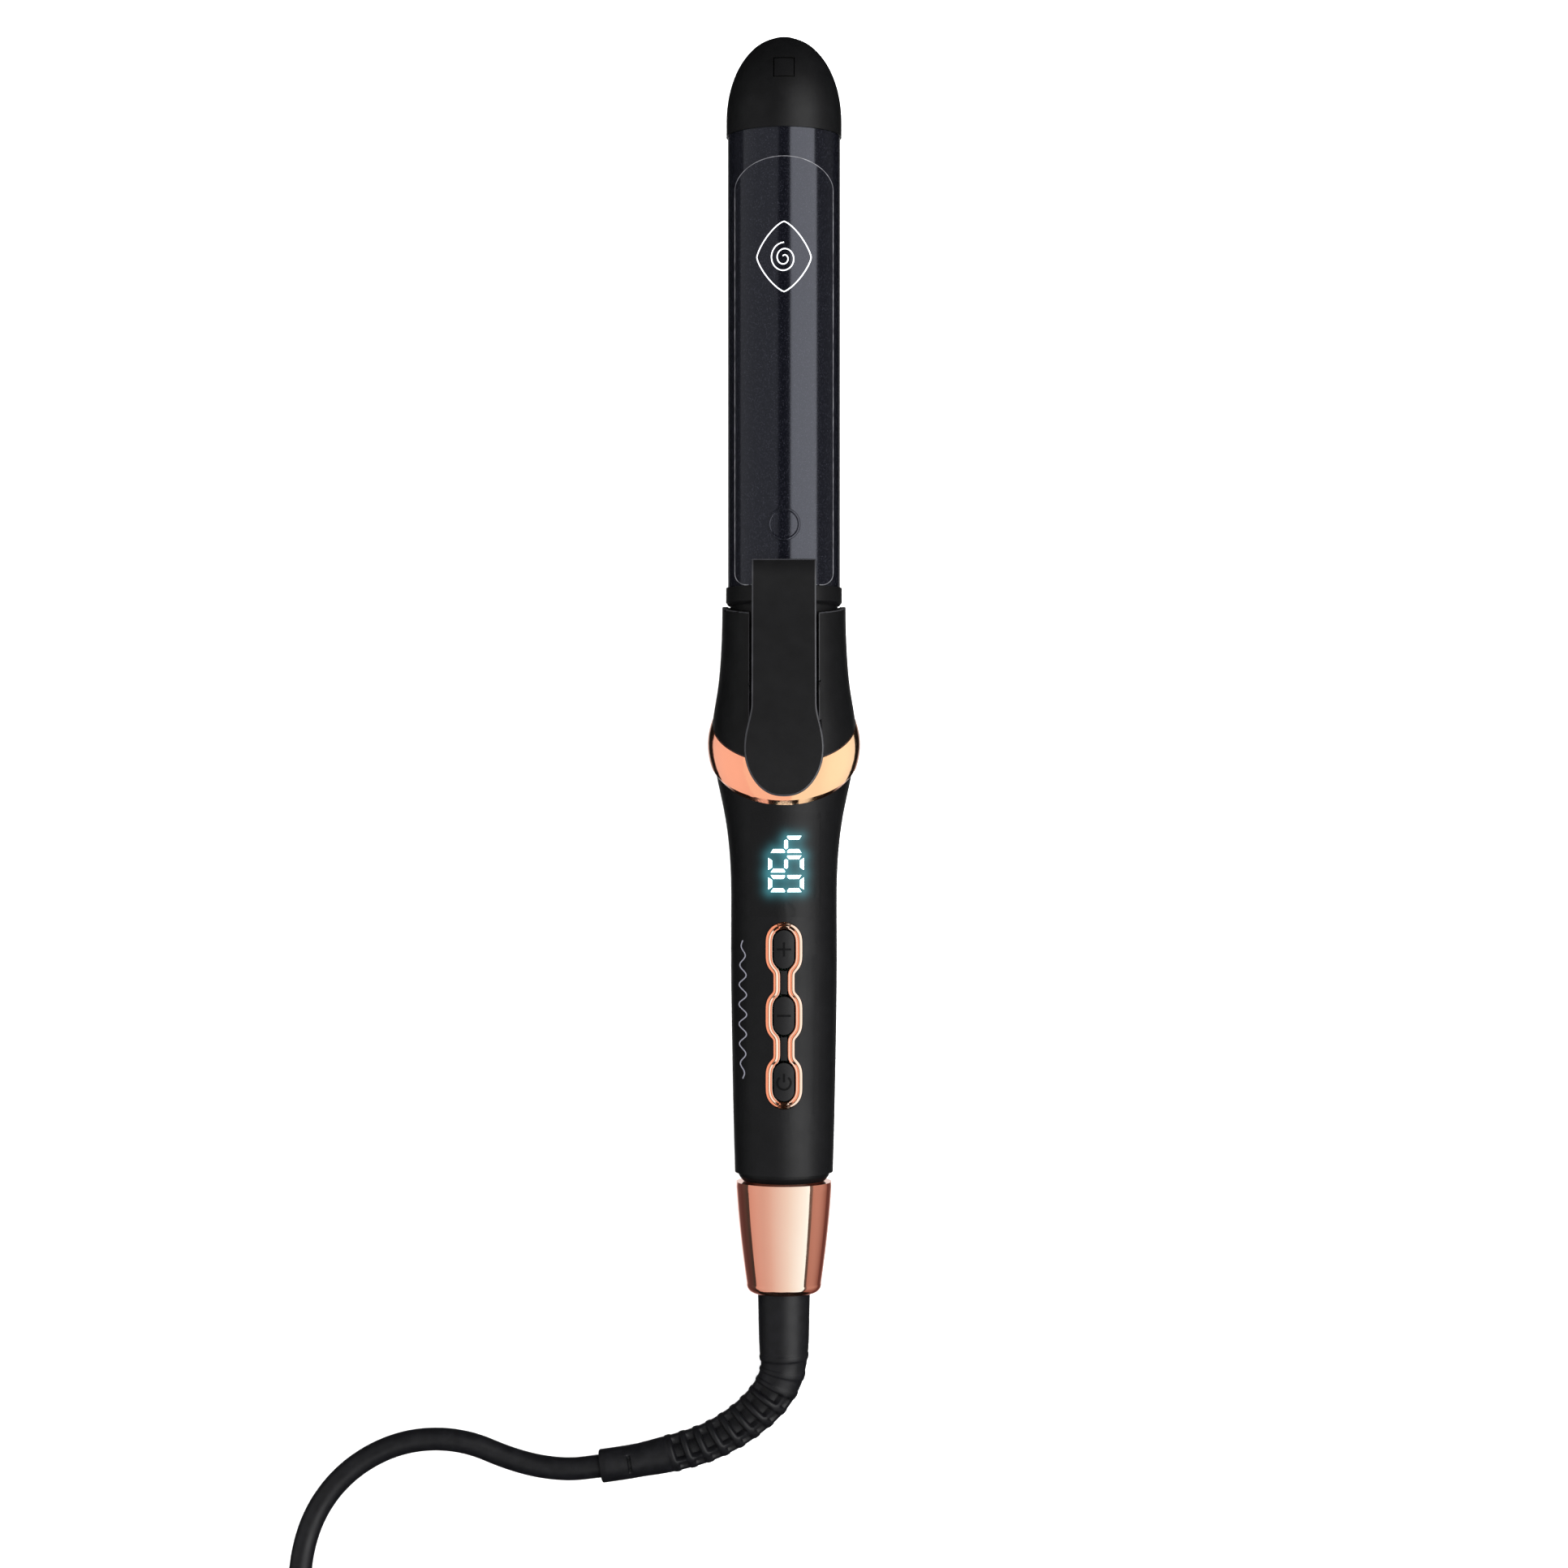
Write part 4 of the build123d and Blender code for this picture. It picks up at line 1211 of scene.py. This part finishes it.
def plug_sections():
    """Sections from the cord to the face: distance along, half width, half height, squareness."""
    sections = [(0.0, 3.6, 3.6, 2.0)]
    for rib in range(PLUG_TAIL_RIBS):
        start = PLUG_RIB_START + rib * PLUG_RIB_PITCH
        size = 4.1 + 0.32 * rib
        for off, grow in ((0.0, -0.7), (0.25, 0.0), (1.45, 0.15), (1.7, -0.5)):
            sections.append((start + off, size + grow, size + grow, 2.0))
    for step in range(41):
        share = step / 40
        grow = step_between(share, -0.02, 0.3)
        half_width = 6.4 + 5.5 * grow - 0.9 * math.exp(-((share - 0.52) / 0.16) ** 2)
        half_height = 5.6 + 1.85 * grow
        if 0.3 < share < 0.78:
            half_width += 0.22 * math.cos((share - 0.3) * 2 * math.pi * 14)
        if share > 0.97:
            edge = 0.5 * (share - 0.97) / 0.03
            half_width -= edge
            half_height -= edge
        sections.append((PLUG_TAIL + PLUG_BODY * share, half_width, half_height, 2.0 + 2.6 * grow))
    return sections


def make_plug_detail():
    """Moulded plug: a ribbed tail, a waisted grip with finger ridges, and a flat face."""
    sections = plug_sections()
    matrix = plug_matrix()
    vertices = []
    for along, half_width, half_height, square in sections:
        for angle in angles_round(PLUG_SIDES):
            across, up = superellipse(angle, square)
            vertices.append(matrix @ (Vector((along, half_width * across, half_height * up)) * MM))
    faces = rings_to_faces(len(sections), PLUG_SIDES)
    plug = smooth_piece("plug_body_detail", vertices, faces, 45.0, "cord", "cord_side")
    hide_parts("plug_body")
    return plug


def tie_loop(half_across, half_up, corner):
    """Points and outward directions round the turns, from the top middle over the outer side."""
    loop = []
    for quarter, (sign_x, sign_z) in enumerate(((1, 1), (1, -1), (-1, -1), (-1, 1))):
        for step in range(9):
            angle = math.radians(90 - 90 * quarter - 90 * step / 8)
            out = Vector((math.cos(angle), math.sin(angle)))
            centre = Vector((sign_x * (half_across - corner), sign_z * (half_up - corner)))
            loop.append((centre + out * corner, out))
    return loop


def tie_path():
    """The strap's line: points across and up, the way out, and how far it lies over its own start."""
    loop = tie_loop(TIE_HALF_ACROSS, TIE_HALF_UP, TIE_CORNER)
    up = Vector((0, 1))
    over_start = [(-8.0, 0.0), (-6.0, 0.2), (-4.0, 0.75), (-2.5, 1.02)]
    over_start += [(x, TIE_LAP) for x in (0.0, 4.0, 8.0)]
    path = [(Vector((x, TIE_HALF_UP)), up, 0.0) for x in (-2.0, 4.0)]
    path += [(point, out, 0.0) for point, out in loop]
    path += [(Vector((x, TIE_HALF_UP)), up, lift) for x, lift in over_start]
    path += [(point, out, TIE_LAP) for point, out in loop[:9]]
    path += [(Vector((TIE_HALF_ACROSS, z)), Vector((1, 0)), TIE_LAP) for z in (2.0, 0.5)]
    return path


def make_tie_detail():
    """Hook-and-loop strap round the coil's turns, its end lapped over its start on the top."""
    path = tie_path()
    half = TIE_WIDTH / 2
    section = [
        (-half, 0.15), (0.15 - half, 0.0), (half - 0.15, 0.0), (half, 0.15), (half, TIE_THICKNESS - 0.2),
        (half - 0.2, TIE_THICKNESS), (0.2 - half, TIE_THICKNESS), (-half, TIE_THICKNESS - 0.2),
    ]
    centre = Vector(TIE_CENTRE)
    vertices = []
    for point, out, lift in path:
        for along, thick in section:
            spot = point + out * (lift + thick)
            vertices.append((centre + Vector((spot.x, along, spot.y))) * MM)
    faces = rings_to_faces(len(path), len(section))
    tie = smooth_piece("coil_tie_detail", vertices, faces, 40.0, "tape", "cord_side")
    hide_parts("coil_tie")
    return tie


# Studio


def softbox(name, low, high, length, radiance, color=(1, 1, 1), tip=0.0):
    """A light that spans the given turns about the iron's axis, 0 being the clip side."""
    turn = (low + high) / 2
    width = 2 * LIGHT_DISTANCE * math.tan(math.radians(high - low) / 2)
    data = bpy.data.lights.new(name, "AREA")
    data.shape = "RECTANGLE"
    data.size = width
    data.size_y = length
    data.energy = radiance * math.pi * width * length
    data.color = color
    light = bpy.data.objects.new(name, data)
    bpy.context.scene.collection.objects.link(light)
    light.matrix_world = (
        iron
        @ Matrix.Rotation(math.radians(turn), 4, "Y")
        @ Matrix.Rotation(math.radians(tip), 4, "X")
        @ Matrix.Translation((0, 0, LIGHT_DISTANCE))
    )
    light.visible_camera = False
    return light


def graded(light, first, last):
    """Lets a light's colour run evenly from one side of it to the other."""
    light.data.use_nodes = True
    tree = light.data.node_tree
    spot = tree.nodes.new("ShaderNodeNewGeometry")
    across = tree.nodes.new("ShaderNodeSeparateXYZ")
    tree.links.new(spot.outputs["Parametric"], across.inputs["Vector"])
    color = blend_colors(tree, across.outputs["X"], first, last)
    tree.links.new(color, tree.nodes["Emission"].inputs["Color"])
    return light


def lights_only(light, pieces, state="INCLUDE"):
    """Shades a light so that it reaches only the given pieces, or all but them."""
    group = bpy.data.collections.new(light.name + "_pieces")
    for piece in pieces:
        group.objects.link(piece)
    light.light_linking.receiver_collection = group
    for entry in group.collection_objects:
        entry.light_linking.link_state = state


def make_lights():
    """Lights for the black pieces, and lights of their own for collar, ring, bezel and barrel."""
    by_look = {}
    for piece in bpy.context.scene.objects:
        if piece.type == "MESH" and piece.data.materials:
            by_look.setdefault(piece.data.materials[0], []).append(piece)
    collar = by_look[looks["rose_gold"]] + by_look[looks["shaded_rose_gold"]]
    plated = by_look[looks["bright_rose"]]
    bezel = [piece for piece in plated if "bezel" in piece.name]
    ring = [piece for piece in plated if piece not in bezel]
    for light in (
        softbox("broad_left", -91, -27, MAIN_LIGHT_LENGTH, 0.78),
        softbox("strip_right", 12.4, 64.6, MAIN_LIGHT_LENGTH, 5.0),
        softbox("low_fill", -26, 12, 0.42, 0.85, tip=30.0),
    ):
        lights_only(light, collar + plated, "EXCLUDE")
    lights_only(softbox("barrel_left", -27, -11, MAIN_LIGHT_LENGTH, 0.78), by_look[looks["barrel"]])
    for name, low, high, first, last in (
        ("collar_left_edge", -175, -106, (0.26, 0.15, 0.15), (0.02, 0.008, 0.01)),
        ("collar_left", -96, -38, (0.6, 0.44, 0.42), (0.76, 0.78, 0.8)),
        ("collar_middle", -38, 12, (0.76, 0.78, 0.8), (0.92, 1.33, 1.49)),
        ("collar_right", 12, 65, (0.92, 1.33, 1.49), (1.1, 2.0, 2.45)),
        ("collar_right_band", 74, 127, (0.31, 0.18, 0.157), (0.27, 0.156, 0.14)),
        ("collar_right_edge", 127, 175, (0.14, 0.065, 0.06), (0.14, 0.065, 0.06)),
    ):
        lights_only(graded(softbox(name, low, high, LIGHT_LENGTH, 1.0), first, last), collar)
    for name, low, high, radiance, color in (
        ("ring_left", -130, -60, 0.9, (1, 0.9, 0.93)),
        ("ring_middle", -60, 14, 0.95, (1, 1, 1)),
        ("ring_right", 14, 75, 1.4, (0.72, 1, 0.95)),
        ("ring_right_edge", 75, 130, 1.4, (0.72, 1, 0.95)),
    ):
        lights_only(softbox(name, low, high, RING_LIGHT_LENGTH, radiance, color), ring)
    for name, low, high, first, last in (
        ("bezel_left", -120, -11, (0.95, 0.72, 0.7), (0.87, 0.68, 0.6)),
        ("bezel_right", 11, 120, (1.0, 1.6, 2.0), (1.1, 2.0, 2.9)),
    ):
        lights_only(graded(softbox(name, low, high, LIGHT_LENGTH, 1.0), first, last), bezel)


def make_backdrop():
    """White surroundings that shiny pieces see as dark, with soft light at the sides and from below."""
    world = bpy.data.worlds.new("studio")
    bpy.context.scene.world = world
    world.use_nodes = True
    tree = world.node_tree
    backdrop = tree.nodes["Background"]
    backdrop.inputs["Strength"].default_value = 1.0
    direction = tree.nodes.new("ShaderNodeSeparateXYZ")
    tree.links.new(tree.nodes.new("ShaderNodeTexCoord").outputs["Generated"], direction.inputs["Vector"])
    seen = None
    for axis, low, high, level in (
        ("X", 0.8, 0.97, 0.25),
        ("X", -0.8, -0.97, 0.08),
        ("Z", -0.86, -0.97, 0.9),
    ):
        side = map_range(tree, direction.outputs[axis], low, high, 0.01, level)
        if seen is None:
            seen = side
            continue
        largest = tree.nodes.new("ShaderNodeMath")
        largest.operation = "MAXIMUM"
        tree.links.new(seen, largest.inputs[0])
        tree.links.new(side, largest.inputs[1])
        seen = largest.outputs["Value"]
    path = tree.nodes.new("ShaderNodeLightPath")
    choice = tree.nodes.new("ShaderNodeMix")
    choice.data_type = "FLOAT"
    choice.inputs["A"].default_value = 2.2
    tree.links.new(path.outputs["Is Glossy Ray"], choice.inputs["Factor"])
    tree.links.new(seen, choice.inputs["B"])
    tree.links.new(choice.outputs["Result"], backdrop.inputs["Color"])


def make_floor():
    half = FLOOR_SIZE / 2
    corners = [(x, y, FLOOR_BELOW) for x, y in ((-half, -half), (half, -half), (half, half), (-half, half))]
    mesh = smooth_mesh("floor", corners, [(0, 1, 2, 3)])
    floor = bpy.data.objects.new("floor", mesh)
    bpy.context.scene.collection.objects.link(floor)
    mesh.materials.append(looks["floor"])
    floor.visible_glossy = False


# The pieces, then the studio round them

make_camera()
power_cord = make_power_cord()
relief_detail = make_strain_relief_detail()
plug_detail = make_plug_detail()
tie_detail = make_tie_detail()
make_bezel_detail()
make_key_symbols()
make_display()
make_ornaments()
make_collar_detail()
make_handle_step()
make_clip_detail()
# The last entry of each row is the look painted on the rounded edges as a highlight, or None.
for node, width, body, slot, bevel_highlight_look in (
    ("thumb_lever", 0.45, "clip", "satin_black", "satin_highlight"),
    ("upper_housing", 0.3, "handle", "satin_black", "satin_highlight"),
    ("barrel_base", 0.25, "handle", "satin_black", None),
    ("tip_cap", 0.2, "handle", "satin_black", None),
    ("handle_front", 0.15, "handle", "soft_touch", None),
    ("handle_rear", 0.15, "handle", "soft_touch", None),
    ("stand", 0.35, "stand", "black_steel", None),
    ("plug_blades", 0.15, "cord_side", "brass", None),
):
    refined(node, width, body, bevel_highlight_look)
darken_inside(refined("accent_ring", 0.12, "handle", angle=12.0))
make_lights()
make_backdrop()
make_floor()
view = bpy.context.scene.view_settings
view.view_transform = "Standard"
view.look = "None"
